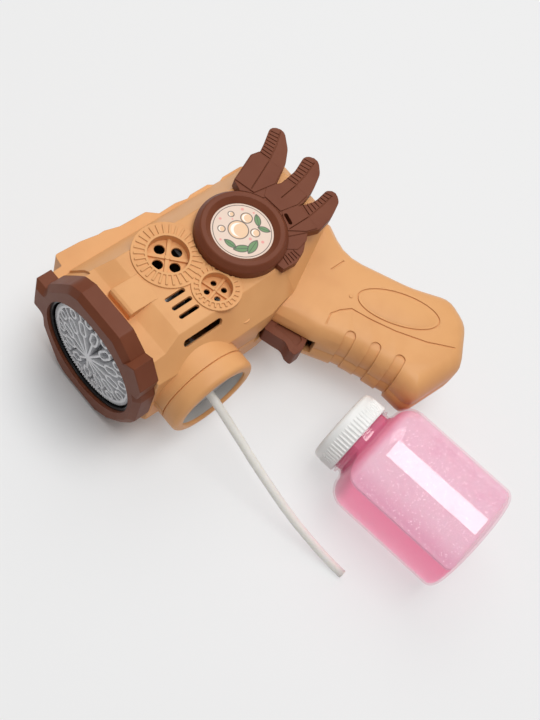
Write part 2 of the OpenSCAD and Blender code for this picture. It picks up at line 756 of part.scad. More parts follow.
// Air slots
slot_len = 13;
slot_w = 2.5;
slot_rows = [-9, -14.8, -20.6];
slot_x = 45.5;
long_slot = [46.5, -27.5, 26, 4.2];
module air_slots() {
    for (y = slot_rows) translate([slot_x, y, side_z - 4]) oval(slot_len, slot_w, 8);
    translate([long_slot[0], long_slot[1], 25.5]) rotate([40, 0, 0]) oval(long_slot[2], long_slot[3], 14);
}
pad_y = [-5.5, 11.5];
pad_top = 1;
pad_x = bezel_depth + 6.4;
module front_pad() {
    translate([0, pad_y[1], 0]) rotate([90, 0, 0]) linear_extrude(pad_y[1] - pad_y[0]) polygon([
        [pad_x, side_z - 8], [42, side_z - 8], [42, side_z - 0.5], [36, side_z + 0.2],
        [pad_x + 2.8, side_z + pad_top], [pad_x + 1.2, side_z + pad_top - 0.5], [pad_x + 0.3, side_z + pad_top - 1.7],
        [pad_x, side_z + pad_top - 4]]);
}
// Step in the upper slope behind the bezel
slope_turn = atan2(side_z - top_flat, body_top - ridge_y);
module front_step() {
    translate([bezel_depth - 1, ridge_y, side_z]) rotate([-slope_turn, 0, 0]) translate([0, 0, -1.2])
        linear_extrude(9) polygon([[0, -3], [7, 1], [9.5, 14], [8, 40], [0, 40]]);
}
// Oval groove round the palm panel, sweeping grooves and finger bands on the grip
function ellipse(a, b, n) = [for (i = [0:n - 1]) [a * cos(360 * i / n), b * sin(360 * i / n)]];
function stroke(p, w) = let (n = [for (t = tangents(p)) left_of(t) * w / 2], k = len(p)) concat(
    [for (i = [0:k - 1]) p[i] - n[i]], [for (i = [k - 1:-1:0]) p[i] + n[i]]);
palm = [25, 11];
groove_w = 0.8;
groove = 0.7;
sweeps = [
    [[107, -66.3], [113.5, -63.2], [120.4, -60], [126.4, -61.6], [132.4, -64.7], [137, -76], [144, -89.5],
     [154.5, -105], [168.3, -119.9]],
    [[139.6, -39.4], [150, -39.6]]
];
// End of each band, its direction and its length over the rounded edge
bands = [[123.2, -75.3, 28, 9.1], [130.4, -88.8, 25, 10.2], [136.7, -102.6, 22, 11.7]];
band_w = 6;
band_deep = 1;
module finger_band(b) {
    flat_z = grip_half - band_deep;
    translate([b.x, b.y, 0]) rotate(b[2]) translate([-b[3], 0, 0]) intersection() {
        translate([0, band_w / 2, 0]) rotate([90, 0, 0]) linear_extrude(band_w) polygon([
            [-3, -1], [band_deep + 0.1, -1], [band_deep + 0.2, 0.44 * grip_half], [band_deep + 1.5, 0.69 * grip_half],
            [band_deep + 4.6, 0.87 * grip_half], [9.4, flat_z], [20, flat_z], [20, 30], [-3, 30]]);
        translate([b[3] - 10, 0, -2]) oval(20, band_w, 34);
    }
}
module grip_grooves() {
    translate([155.5, -80.7, grip_half - groove]) rotate(-54) difference() {
        linear_extrude(4) polygon(ellipse(palm[0], palm[1], 48));
        translate([0, 0, -1]) linear_extrude(6) polygon(ellipse(palm[0] - groove_w, palm[1] - groove_w, 48));
    }
    for (p = sweeps) translate([0, 0, grip_half - groove]) linear_extrude(4) polygon(stroke(p, groove_w));
    for (b = bands) finger_band(b);
}
bosses = [
    [27, 33, 17.5], [74, -35.5, 24.5], [body_len - 36, 20, side_z - 1.6], [146, -34, 16], [132.5, -117.5, 13], [170, -114.5, 11]
];
boss_out = 3.8;
screw_r = 1.1;
head_r = 2.2;
head_deep = 6;
screw_in = 7.5;
socket_boss_top = 34;
module socket_boss(r) {
    downward(socket_x, -socket_boss_top) cylinder(r = r, h = collar_top - socket_boss_top);
}
module trigger_slot() {
    h = trigger_half + trigger_gap;
    translate([0, 0, -h]) linear_extrude(2 * h) polygon([
        [84, -29], [109.5, -29], [110.6, -41], [113, -53.5], [111.6, -61.5], [106.5, -66.5], [84, -70]]);
}
// Hollow moulding of one half, cut off at the parting plane
module half_skin() {
    difference() {
        union() {
            body_solid(0);
            grip_solid();
            front_pad();
            socket_boss(socket_r);
            along_x(bezel_depth) cylinder(r = tray_r + 0.8, h = 2);
        }
        translate([-10, -200, -60]) cube([300, 300, 60]);
        body_solid(wall);
        grip_hollow();
    }
}
// Bosses, wells of the relief gears and ribs that hold the gear frame
module half_inside() {
    for (b = bosses) translate([b.x, b.y, 0]) cylinder(r = boss_out, h = b.z);
    for (g = [big, small]) difference() {
        relief_add(g);
        translate([badge_x, badge_y, side_z]) cylinder(r = badge_r + gap, h = 9);
    }
    translate([137.5, -58.7, grip_half - 0.6]) cylinder(r = 1.1, h = 1);
    for (x = [frame_x - 1.8, cover_x + frame_t + gap])
        translate([x, -6, frame_half - rib_hold]) cube([1.5, 6, side_z - wall + 0.5 - frame_half + rib_hold]);
}
// All openings and grooves of one half; the screws pass with the given radius
module half_cuts(hole) {
    socket_boss(socket_bore + 2);
    relief_cut(big);
    relief_cut(small);
    air_slots();
    grip_grooves();
    front_step();
    trigger_slot();
    along_x(bezel_depth - 1) cylinder(r = air_r, h = wall + 2);
    along_x(bezel_depth - 1, feed_y, feed_z) cylinder(r = tube_r + gap, h = wall + 2);
    along_x(bezel_depth - 1, feed_y, -feed_z) cylinder(r = tube_r + gap, h = wall + 2);
    for (b = bosses) translate([b.x, b.y, -1]) cylinder(r = hole, h = screw_in + 2);
    translate([bezel_depth, body_top - wall, -1]) cube([spine_end - bezel_depth, 9, spine_half + 1 + touch]);
}
module half_shell(hole) {
    difference() {
        union() {
            half_skin();
            half_inside();
        }
        half_cuts(hole);
    }
}
module left_shell() {
    color(caramel) place() {
        half_shell(screw_r + touch);
        shell_ribs();
    }
}
// Ribs inside the left half that carry the switch, the spring and the battery tray
module shell_ribs() {
    rib_top = grip_half - wall + 0.6;
    translate([switch_x + 2, switch_y - 2, switch_half]) cube([4, 4, rib_top - switch_half]);
    translate([spring_x1, spring_y - 3, -4]) cube([2, 6, rib_top + 4]);
    in_bay() translate([0, 12, cell_d / 2 + 1.4]) cylinder(r = 3, h = rib_top - cell_d / 2 - 1.4);
    in_bay() translate([0, -12, cell_d / 2 + 1.4]) cylinder(r = 3, h = rib_top - cell_d / 2 - 1.4);
}
module right_shell() {
    color(caramel) place() across() difference() {
        half_shell(screw_r + 0.3);
        for (b = bosses) translate([b.x, b.y, head_deep]) cylinder(r = head_r + gap, h = 40);
        battery_door(0);
    }
}

// Spine along the top, between the halves
spine_low = body_top - wall + touch;
spine_end = body_len - 16;
spine_profile = [
    [12 + touch, spine_low, 0.3], [spine_end - touch, spine_low, 0.3], [spine_end - touch, 42.6, 0.4],
    [spine_end - 5.5, 44.6, 0.6], [131, 44.6, 0.6], [128, 43.4, 0.4],
    [123, 43.4, 0.4], [120, 45.3, 0.6], [107, 45.3, 0.6], [104, 44.2, 0.4], [96, 45.6, 0.6], [84, 45.2, 0.6],
    [78, 50, 0.8], [60, 50.4, 0.8], [51, 52.8, 0.8], [47, 52.6, 0.5], [36, 54.4, 0.8], [19.5, 55, 1.6], [18.4, 47.5, 0.6],
    [12 + touch, 47.2, 0.6]
];
module top_spine() {
    color(caramel) place() translate([0, 0, -spine_half + touch])
        linear_extrude(2 * spine_half - 2 * touch) polygon(rounded(spine_profile, 2));
}

// Badge and wing
badge_z = side_z;
print_z = half_width - 3;
module badge_ring() {
    translate([badge_x, badge_y, 0]) rotate_extrude() polygon([
        [print_r + touch, badge_z], [badge_r, badge_z], [badge_r, half_width - 3.6], [badge_r - 2.2, half_width - 0.5],
        [badge_r - 2.9, half_width], [badge_r - 5.4, half_width], [print_r + touch, print_z + 0.4]]);
}
module badge_print() {
    translate([badge_x, badge_y, badge_z]) cylinder(r = print_r, h = print_z - badge_z);
}
feathers = [
    [0.9, [[112, 12, 1], [124, 8, 1], [136, 12.5, 14], [147, 18.5, 20], [155, 25.5, 14], [162.5, 37, 5],
           [156.5, 42.5, 4], [147, 36.5, 8], [140.5, 33, 1], [134.2, 34.1, 1], [115, 26.4, 1], [113.5, 20, 1]]],
    [0.45, [[114, -4, 1], [130, -6, 1], [139, -5.8, 8], [150, -2.4, 16], [160, 3, 10], [167, 12, 5],
           [160.5, 17, 4.5], [149, 12.4, 14], [136.5, 10.6, 2], [129, 14.6, 1], [118, 9, 1]]],
    [0, [[112, -15, 1], [128, -21, 1], [136, -23.6, 4], [147, -21.4, 16], [157, -16.6, 6], [161.5, -9, 4],
           [155.5, -7, 4], [145, -8.8, 14], [136.5, -6, 1.5], [131, -1.8, 1], [122, -3, 1]]],
    [-0.5, [[108, -20, 1], [117, -26, 1], [124.6, -24.6, 1], [128.4, -21.4, 1], [126.6, -16.6, 1], [117, -12, 1]]],
    [-0.9, [[101, -26, 0.6], [102, -30.8, 0.6], [111, -31.6, 1.5], [118.6, -28.8, 1], [124.2, -24.4, 1],
            [121, -22.2, 0.6], [108, -18, 0.6]]]
];
// Raised plates at the roots of the feathers: number of the feather, height above it and outline
plates = [
    [0, [[115.6, 26.2], [134.5, 33.4], [139.4, 32.4], [140.4, 25.2], [142.6, 16.6], [133, 12], [119, 14]]],
    [1, [[122.7, 9.5], [129, 13.8], [135.6, 10.6], [140, 10.6], [142.3, 5], [143.6, -3.6], [135.3, -5], [124, -3]]],
    [2, [[124.5, -3.6], [130.5, -2.4], [136.1, -6.8], [135.2, -13.8], [134.4, -22.4], [128, -20.4], [119, -14]]]
];
plate_up = 0.6;
// Grooves across the outer half of each feather: number of the feather, edge from and to, midrib from and to, count
hatches = [
    [0, [139.9, 33.6], [154.9, 40.4], [141.8, 26.4], [157.4, 35.6], 8],
    [1, [142, 12], [159.2, 15.6], [143.6, 5.6], [161.6, 10.2], 8],
    [2, [138, -6.6], [154.2, -7], [136.8, -13.4], [156.2, -11.3], 8],
    [4, [106.8, -24.6], [114.4, -25], [106, -30.2], [115, -29.8], 5]
];
midribs = [
    [0, [[119.2, 16.5], [140.4, 25.2], [151, 31], [159.4, 36.9]]],
    [1, [[130, 3.2], [142.4, 4.7], [153, 7.2], [162.6, 10.6]]],
    [2, [[120.8, -14.2], [135, -14.3], [147, -13], [156.6, -11.3]]]
];
hatch_w = 0.55;
hatch_deep = 0.6;
function feather_top(i) = badge_z + wing_t + feathers[i][0];
module wing_grooves() {
    for (h = hatches) translate([0, 0, feather_top(h[0]) - hatch_deep])
        for (i = [0:h[5] - 1]) let (t = i / (h[5] - 1))
            linear_extrude(3) polygon(stroke([h[1] + (h[2] - h[1]) * t, h[3] + (h[4] - h[3]) * t], hatch_w));
    for (m = midribs) translate([0, 0, feather_top(m[0]) - hatch_deep / 2])
        linear_extrude(3) polygon(stroke(m[1], hatch_w));
}
module wing() {
    difference() {
        union() {
            for (f = feathers) translate([0, 0, badge_z]) linear_extrude(wing_t + f[0]) polygon(rounded(f[1], 3));
            for (p = plates) translate([0, 0, badge_z + 1])
                linear_extrude(feather_top(p[0]) + plate_up - badge_z - 1) polygon(p[1]);
        }
        wing_grooves();
        translate([badge_x, badge_y, badge_z - 1]) cylinder(r = badge_r + touch, h = 20);
        translate([124.4, -9, badge_z + 1]) rotate(76) oval(7.4, 2.2, 12);
    }
}
module left_badge_ring() { color(brown) place() badge_ring(); }
module right_badge_ring() { color(brown) place() across() badge_ring(); }
module left_badge_print() { color("#ecd6c2") place() badge_print(); }
module right_badge_print() { color("#ecd6c2") place() across() badge_print(); }
module left_wing() { color(brown) place() wing(); }
module right_wing() { color(brown) place() across() wing(); }

// Trigger, its pin and spring, and the switch behind it
pivot = [99, -34.5];
pivot_boss = 4.2;
lever = [
    [95.5, -30.5, 2], [93, -38, 3], [88.8, -43, 1.5], [91, -50, 8], [93.2, -56, 6], [91.4, -61, 3],
    [92, -65, 1.5], [98, -65, 2], [104.4, -62, 2], [107.6, -56, 2], [107, -43, 3], [103.5, -30.5, 2]
];
lever_panel = [
    [94.6, -45, 1], [95.4, -50, 3], [97, -56, 3], [96, -61.6, 1], [101.6, -60.4, 1], [105, -55, 1], [104.6, -44.4, 1]
];
panel_deep = 0.8;
module trigger() {
    color(brown) place() difference() {
        translate([0, 0, -trigger_half]) linear_extrude(2 * trigger_half) polygon(rounded(lever));
        translate([pivot.x, pivot.y, -20]) cylinder(r = shaft_r + run_fit, h = 40);
        for (z = [-trigger_half - 3, trigger_half - panel_deep])
            translate([0, 0, z]) linear_extrude(3 + panel_deep) polygon(rounded(lever_panel, 3));
    }
}
pin_half = 16;
module trigger_pin() {
    color(steel) place() translate([pivot.x, pivot.y, -pin_half]) cylinder(r = shaft_r, h = 2 * pin_half);
}
spring_y = -55;
spring_x0 = 108.2;
spring_x1 = 122;
coil_r = 2.6;
wire_r = 0.35;
coils = 6;
coil_rings = 8;
coil_path = [
    for (i = [0:coils * coil_rings]) let (t = 360 * i / coil_rings)
        [spring_x0 + wire_r + (spring_x1 - spring_x0 - 2 * wire_r - gap) * i / (coils * coil_rings),
         spring_y + coil_r * cos(t), coil_r * sin(t)]
];
coil_gap = (spring_x1 - spring_x0 - 2 * wire_r - gap) / coils - 2 * wire_r;
echo(coil_gap = coil_gap);
module trigger_spring() {
    color(steel) place() tube(coil_path, wire_r, 6, [0, 1, 0]);
}
switch_x = 113;
switch_y = -46;
switch_half = 3.2;
button_r = 1.5;
button_out = 4.6;
module micro_switch() {
    color(black) place() difference() {
        translate([switch_x, switch_y - 4, -switch_half]) cube([9, 8, 2 * switch_half]);
        along_x(switch_x - 1, switch_y) cylinder(r = button_r + run_fit, h = 8);
    }
}
module switch_button() {
    color("firebrick") place() along_x(switch_x - button_out, switch_y) cylinder(r = button_r, h = button_out + 2.4);
}

// Batteries in the grip
bay = [150, -86.5];
bay_turn = 22;
bay_half = 1.5 * cell_d + 1.6;
bay_long = cell_len / 2 + 3.2;
module in_bay() translate([bay.x, bay.y, 0]) rotate(bay_turn) children();
module cells(r, len) {
    for (i = [-1:1]) translate([i * (cell_d + 0.3), len / 2, 0]) rotate([90, 0, 0]) cylinder(r = r, h = len);
}
module battery_tray() {
    color(black) place() in_bay() difference() {
        translate([-bay_half, -bay_long, -cell_d / 2]) cube([2 * bay_half, 2 * bay_long, cell_d + 1.4]);
        cells(cell_d / 2 + 0.15, 2 * bay_long - 2.4);
        translate([-bay_half + 1, -bay_long + 1.2, -cell_d])
            cube([2 * bay_half - 2, 2 * bay_long - 2.4, cell_d]);
    }
}
module batteries() {
    color("#3f7d54") place() in_bay() {
        cells(cell_d / 2, cell_len - 1.4);
        for (i = [-1:1]) translate([i * (cell_d + 0.3), i == 0 ? -cell_len / 2 + 0.8 : cell_len / 2, 0])
            rotate([90, 0, 0]) cylinder(r = 2.6, h = 1);
    }
}
module battery_contacts() {
    color(steel) place() in_bay()
        for (i = [-1:1]) for (s = [-1, 1])
            translate([i * (cell_d + 0.3) - 4.5, s * (bay_long - 1.6) - 0.25, -5]) cube([9, 0.5, 10]);
}
door_w = 44;
door_l = 54;
module battery_door(t) {
    translate([0, 0, cell_d / 2]) in_door() linear_extrude(40) polygon(rounded([
        [-door_w / 2 + t, -door_l / 2 + t, 3], [door_w / 2 - t, -door_l / 2 + t, 3],
        [door_w / 2 - t, door_l / 2 - t, 3], [-door_w / 2 + t, door_l / 2 - t, 3]]));
}
module in_door() translate([bay.x, bay.y, 0]) rotate(bay_turn) children();
door_gap = 0.35;
screw_at = [-16, 0];
module battery_cover() {
    color(caramel) place() across() difference() {
        intersection() {
            grip_solid();
            battery_door(door_gap);
        }
        grip_hollow();
        in_door() translate([0, door_l / 2 - 5, 0]) cylinder(r = screw_r + 0.3, h = 40);
        in_door() translate([0, door_l / 2 - 5, grip_half - 1]) cylinder(r = head_r + gap, h = 40);
    }
}
module cover_screw() {
    color(steel) place() across() in_door() translate([0, door_l / 2 - 5, 0]) {
        translate([0, 0, grip_half - 1 - 7]) cylinder(r = screw_r, h = 7);
        translate([0, 0, grip_half - 1]) cylinder(r = head_r, h = 0.9);
    }
}
module shell_screws() {
    color(steel) place() for (b = bosses) translate([b.x, b.y, 0]) {
        translate([0, 0, -head_deep]) cylinder(r = screw_r, h = head_deep + screw_in);
        translate([0, 0, -head_deep - 1.8]) cylinder(r = head_r, h = 1.8);
    }
}

// Bottle, lying on the surface beside the blower
bottle_mid = [95, -107.5];
shoulder = 12;
base_round = 5;
neck_h = 19;
module lying() {
    translate([bottle_mid.x - rest_x, bottle_mid.y, bottle_r]) rotate([0, 0, bottle_yaw]) rotate([0, 90, 0]) children();
}
// Half section of the bottle from the mouth on, drawn in by t
function bottle_half(t) = concat(
    [[neck_r - t, t == 0 ? 2 : 2], [neck_r - t, neck_h - 1]],
    [for (i = [0:8]) let (a = 90 - i * 11.25)
        [bottle_r - shoulder + (shoulder - t) * cos(a), neck_h + shoulder - (shoulder - t) * sin(a)]],
    [for (i = [0:4]) let (a = i * 22.5)
        [bottle_r - base_round + (base_round - t) * cos(a), neck_h + bottle_len - base_round + (base_round - t) * sin(a)]],
    [[0, neck_h + bottle_len - t]]
);
module bottle() {
    color([0.95, 0.55, 0.7, 0.5]) place_bottle() difference() {
        union() {
            rotate_extrude($fn = 96) polygon(concat([[0, 2]], bottle_half(0)));
            translate([0, 0, cap_h + 0.6]) rotate_extrude() polygon([
                [neck_r - 1, 0], [neck_r + 1.6, 0.5], [neck_r + 1.6, 1.5], [neck_r - 1, 2]]);
        }
        rotate_extrude($fn = 96) polygon(concat([[0, 0], [neck_r - bottle_wall, 0]], bottle_half(bottle_wall)));
    }
}
module place_bottle() lying() children();
module bottle_liquid() {
    color([0.93, 0.45, 0.62, 0.7]) intersection() {
        place_bottle() rotate_extrude($fn = 96)
            polygon(concat([[0, 4]], [for (p = bottle_half(bottle_wall + 0.15)) [p.x, max(p.y, 4)]]));
        translate([0, -300, 0]) cube([300, 300, liquid_z]);
    }
}
cap_wall = 1.4;
cap_bore = neck_r + 1;
rib_deep = 0.4;
module bottle_cap() {
    color(white) place_bottle() difference() {
        union() {
            translate([0, 0, 1.2]) linear_extrude(cap_h - 1.2) polygon([
                for (i = [0:cap_ribs - 1]) let (a = 360 / cap_ribs)
                    for (j = [0:3]) let (r = j < 2 ? cap_r : cap_r - rib_deep, b = a * (i + [0.1, 0.4, 0.55, 0.95][j]))
                        r * [cos(b), sin(b)]]);
            translate([0, 0, 0]) cylinder(r1 = cap_r - 1.8, r2 = cap_r - rib_deep, h = 1.2);
        }
        translate([0, 0, cap_wall]) cylinder(r = cap_bore, h = cap_h);
    }
}
module cap_liner() {
    color("#e8e4dc") place_bottle() translate([0, 0, cap_wall]) cylinder(r = cap_bore - 0.2, h = 0.5);
}

left_shell();
right_shell();
top_spine();
front_bezel();
drip_tray();
bubble_disc();
disc_axle();
axle_clip();
left_badge_ring();
right_badge_ring();
left_badge_print();
right_badge_print();
left_wing();
right_wing();
bottle_collar();
socket_seal();
suction_hose();
pump_tube();
fan_shroud();
fan();
motor_can();
motor_end_cap();
motor_shaft();
motor_pinion();
gear_frame();
gear_frame_cover();
compound_gear();
compound_pin();
layshaft();
layshaft_gear();
front_pinion();
pump_shaft();
pump_gear();
pump_rotor();
pump_rollers();
pump_housing();
trigger();
trigger_pin();
trigger_spring();
micro_switch();
switch_button();
battery_tray();
batteries();
battery_contacts();
battery_cover();
cover_screw();
shell_screws();
bottle();
bottle_liquid();
bottle_cap();
cap_liner();
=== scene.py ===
"""Looks of the toy bubble blower: finishes, hose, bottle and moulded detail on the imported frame.

All sizes are in metres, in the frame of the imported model: x runs from the muzzle to the rear, y is the blower's own
up, and z rises from the surface on which it lies.
"""
import json
import logging
import math
from dataclasses import dataclass, field
from enum import Enum
from typing import Any, Iterable, Sequence

import bmesh
import bpy
from mathutils import Matrix, Vector


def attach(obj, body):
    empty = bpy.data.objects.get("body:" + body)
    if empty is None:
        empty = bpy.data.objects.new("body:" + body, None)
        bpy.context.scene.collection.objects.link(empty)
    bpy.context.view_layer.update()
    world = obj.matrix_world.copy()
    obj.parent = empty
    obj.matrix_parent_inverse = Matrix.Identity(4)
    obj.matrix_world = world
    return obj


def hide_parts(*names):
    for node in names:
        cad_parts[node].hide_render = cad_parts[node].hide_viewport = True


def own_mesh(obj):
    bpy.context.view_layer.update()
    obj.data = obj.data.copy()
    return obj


log = logging.getLogger("bubble_blower")
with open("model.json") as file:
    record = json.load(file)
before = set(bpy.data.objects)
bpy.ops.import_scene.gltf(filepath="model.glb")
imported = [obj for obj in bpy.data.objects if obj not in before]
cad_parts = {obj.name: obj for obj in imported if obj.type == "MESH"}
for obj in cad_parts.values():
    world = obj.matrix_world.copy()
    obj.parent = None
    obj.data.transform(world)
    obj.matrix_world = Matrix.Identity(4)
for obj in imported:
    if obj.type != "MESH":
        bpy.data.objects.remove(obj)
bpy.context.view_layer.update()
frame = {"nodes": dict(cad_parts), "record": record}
MM = 0.001
REST_X = 7.5
HALF_WIDTH = 46.0
HANDLE_BOX = ((100.0, -135.0), (190.0, -22.0))
BOTTLE_MOUTH = (87.5, -107.5)
BOTTLE_YAW = -82.0
LIQUID_LEVEL = 49.0
MERGE = 1e-6
OBJECT_OUT = 3
MIX_A, MIX_B, MIX_OUT = 6, 7, 2


class Body(str, Enum):
    """Moving groups of the blower that pieces ride on."""

    BLOWER = "blower"
    BOTTLE = "bottle_body"
    CAP = "cap"


def spot(x: float, y: float, z: float) -> Vector:
    """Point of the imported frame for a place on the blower.

    Args:
        x: Distance behind the bezel's front, in millimetres.
        y: Height above the muzzle axis, in millimetres.
        z: Distance to the left of the parting plane, in millimetres.

    Returns:
        The point in metres.
    """
    return Vector(((x - REST_X) * MM, y * MM, (z + HALF_WIDTH) * MM))


class Value:
    """Socket of a shader tree that takes part in Python arithmetic."""

    def __init__(self, graph: "Graph", socket: bpy.types.NodeSocket) -> None:
        """Keeps the tree and the output socket."""
        self.graph = graph
        self.socket = socket

    def _math(self, operation: str, *terms: Any) -> "Value":
        """Adds a Math node for the operation on the terms."""
        return self.graph.node("ShaderNodeMath", {"operation": operation}, *terms)

    def __add__(self, other: Any) -> "Value":
        """Sum."""
        return self._math("ADD", self, other)

    def __radd__(self, other: Any) -> "Value":
        """Sum with a number on the left."""
        return self._math("ADD", other, self)

    def __sub__(self, other: Any) -> "Value":
        """Difference."""
        return self._math("SUBTRACT", self, other)

    def __rsub__(self, other: Any) -> "Value":
        """Difference from a number on the left."""
        return self._math("SUBTRACT", other, self)

    def __mul__(self, other: Any) -> "Value":
        """Product."""
        return self._math("MULTIPLY", self, other)

    def __rmul__(self, other: Any) -> "Value":
        """Product with a number on the left."""
        return self._math("MULTIPLY", other, self)

    def __truediv__(self, other: Any) -> "Value":
        """Quotient."""
        return self._math("DIVIDE", self, other)

    def top(self, other: Any) -> "Value":
        """The larger of two values."""
        return self._math("MAXIMUM", self, other)

    def least(self, other: Any) -> "Value":
        """The smaller of two values."""
        return self._math("MINIMUM", self, other)

    def size(self) -> "Value":
        """The value without its sign."""
        return self._math("ABSOLUTE", self)

    def root(self) -> "Value":
        """Square root."""
        return self._math("SQRT", self)

    def inside(self, limit: float, blur: float) -> "Value":
        """One where the value is under the limit, zero elsewhere, with a soft border.

        Args:
            limit: Value at the middle of the border.
            blur: Half of the border's breadth.

        Returns:
            The mask.
        """
        return self.ramp(limit - blur, limit + blur, 1.0, 0.0)

    def ramp(self, low: float, high: float, to_low: float = 0.0, to_high: float = 1.0) -> "Value":
        """Smooth step of the value between two limits.

        Args:
            low: Value at which the step begins.
            high: Value at which it ends.
            to_low: Result at the beginning.
            to_high: Result at the end.

        Returns:
            The stepped value.
        """
        settings = {"interpolation_type": "SMOOTHSTEP"}
        return self.graph.node("ShaderNodeMapRange", settings, self, low, high, to_low, to_high)


class Graph:
    """Node tree of one material, with a Principled shader and an output."""

    def __init__(self, name: str) -> None:
        """Starts an empty material.

        Args:
            name: Name of the material.
        """
        self.material = bpy.data.materials.new(name)
        self.material.use_nodes = True
        self.tree = self.material.node_tree
        self.tree.nodes.clear()
        self.output = self.tree.nodes.new("ShaderNodeOutputMaterial")
        self.shader = self.tree.nodes.new("ShaderNodeBsdfPrincipled")
        self.tree.links.new(self.shader.outputs[0], self.output.inputs["Surface"])

    def feed(self, socket: bpy.types.NodeSocket, value: Any) -> None:
        """Links a value to an input socket, or sets it.

        Args:
            socket: The input.
            value: Value of the tree, or a plain number, vector or colour.
        """
        if isinstance(value, Value):
            self.tree.links.new(value.socket, socket)
        else:
            socket.default_value = value

    def node(self, kind: str, settings: dict[str, Any], *values: Any, out: int = 0, **named: Any) -> Value:
        """Adds a node.

        Args:
            kind: Type of the node.
            settings: Properties, set before the sockets.
            *values: Values or links of the first input sockets, in order.
            out: Number of the output to return.
            **named: Values or links by socket name, with spaces written as underscores.

        Returns:
            The chosen output.
        """
        made = self.tree.nodes.new(kind)
        for key, setting in settings.items():
            setattr(made, key, setting)
        for socket, value in zip(made.inputs, values):
            self.feed(socket, value)
        for key, value in named.items():
            self.feed(made.inputs[key.replace("_", " ")], value)
        return Value(self, made.outputs[out])

    def place(self) -> Value:
        """Object coordinates."""
        return self.node("ShaderNodeTexCoord", {}, out=OBJECT_OUT)

    def axes(self, vector: Value) -> tuple[Value, Value, Value]:
        """Splits a vector.

        Args:
            vector: The vector.

        Returns:
            Its three parts.
        """
        split = self.tree.nodes.new("ShaderNodeSeparateXYZ")
        self.feed(split.inputs[0], vector)
        return tuple(Value(self, o) for o in split.outputs)

    def noise(self, scale: float, detail: float = 2.0) -> Value:
        """Noise of a given scale on Object coordinates.

        Args:
            scale: Number of features in a metre.
            detail: Octaves.

        Returns:
            The noise value.
        """
        settings = {"noise_dimensions": "3D"}
        return self.node("ShaderNodeTexNoise", settings, Vector=self.place(), Scale=scale, Detail=detail)

    def mix(self, factor: Any, a: Any, b: Any) -> Value:
        """Colour between two colours.

        Args:
            factor: Share of the second colour.
            a: First colour.
            b: Second colour.

        Returns:
            The mixed colour.
        """
        made = self.tree.nodes.new("ShaderNodeMix")
        made.data_type = "RGBA"
        self.feed(made.inputs[0], factor)
        self.feed(made.inputs[MIX_A], a)
        self.feed(made.inputs[MIX_B], b)
        return Value(self, made.outputs[MIX_OUT])

    def set(self, **named: Any) -> None:
        """Feeds the shader's sockets, named with underscores for spaces."""
        for key, value in named.items():
            self.feed(self.shader.inputs[key.replace("_", " ")], value)

    def bump(self, height: Value, depth: float, edge: float = 0.0) -> None:
        """Gives the surface a bump, with rounded edges if asked.

        Args:
            height: Height between 0 and 1.
            depth: Height of the bump, in metres.
            edge: Radius of the rounded edges, in metres.
        """
        named = {"Strength": 1.0, "Distance": depth, "Height": height}
        if edge > 0:
            named["Normal"] = self.node("ShaderNodeBevel", {"samples": 6}, edge)
        self.set(Normal=self.node("ShaderNodeBump", {}, **named))


def tint(code: str) -> tuple[float, float, float, float]:
    """Linear colour of a hexadecimal code as it is seen.

    Args:
        code: Six hexadecimal digits.

    Returns:
        Red, green, blue and alpha for a shader.
    """
    seen = [int(code[i:i + 2], 16) / 255 for i in (0, 2, 4)]
    return (*[c / 12.92 if c <= 0.04045 else ((c + 0.055) / 1.055) ** 2.4 for c in seen], 1.0)


@dataclass(frozen=True)
class MouldedPlastic:
    """Injection-moulded plastic with a fine spark grain and a slight change of gloss."""

    name: str
    colour: str
    shade: str
    roughness: float = 0.42
    grain: float = 2600.0
    depth: float = 0.00002
    edge: float = 0.0005
    gloss: float = 0.4

    def make(self) -> bpy.types.Material:
        """Makes the material.

        Returns:
            The finished material.
        """
        g = Graph(self.name)
        cloud = g.noise(38.0, 3.0)
        fine = g.noise(self.grain, 2.0)
        g.set(Base_Color=g.mix(cloud.ramp(0.35, 0.75), tint(self.colour), tint(self.shade)))
        g.set(Roughness=self.roughness + 0.10 * (g.noise(240.0, 3.0) - 0.5) + 0.08 * (fine - 0.5))
        g.shader.inputs["IOR"].default_value = 1.48
        g.shader.inputs["Specular IOR Level"].default_value = self.gloss
        g.bump(fine, self.depth, self.edge)
        return g.material


@dataclass(frozen=True)
class PlainMetal:
    """Bare metal with fine drawing marks."""

    name: str
    colour: str
    roughness: float = 0.3

    def make(self) -> bpy.types.Material:
        """Makes the material.

        Returns:
            The finished material.
        """
        g = Graph(self.name)
        fine = g.noise(1800.0, 2.0)
        g.set(Base_Color=tint(self.colour), Metallic=1.0, Roughness=self.roughness + 0.15 * (fine - 0.5))
        g.bump(fine, 0.00001, 0.0002)
        return g.material


@dataclass(frozen=True)
class SoftTube:
    """Milky soft tube that lets light through."""

    name: str = "milky_tube"
    colour: str = "F4F2EC"

    def make(self) -> bpy.types.Material:
        """Makes the material.

        Returns:
            The finished material.
        """
        g = Graph(self.name)
        cloud = g.noise(150.0, 3.0)
        g.set(Base_Color=g.mix(cloud, tint(self.colour), tint("EAE7DF")), Roughness=0.28 + 0.1 * cloud)
        g.shader.inputs["Subsurface Weight"].default_value = 0.4
        g.shader.inputs["Subsurface Radius"].default_value = (0.003, 0.003, 0.0025)
        g.bump(g.noise(900.0), 0.00002)
        return g.material


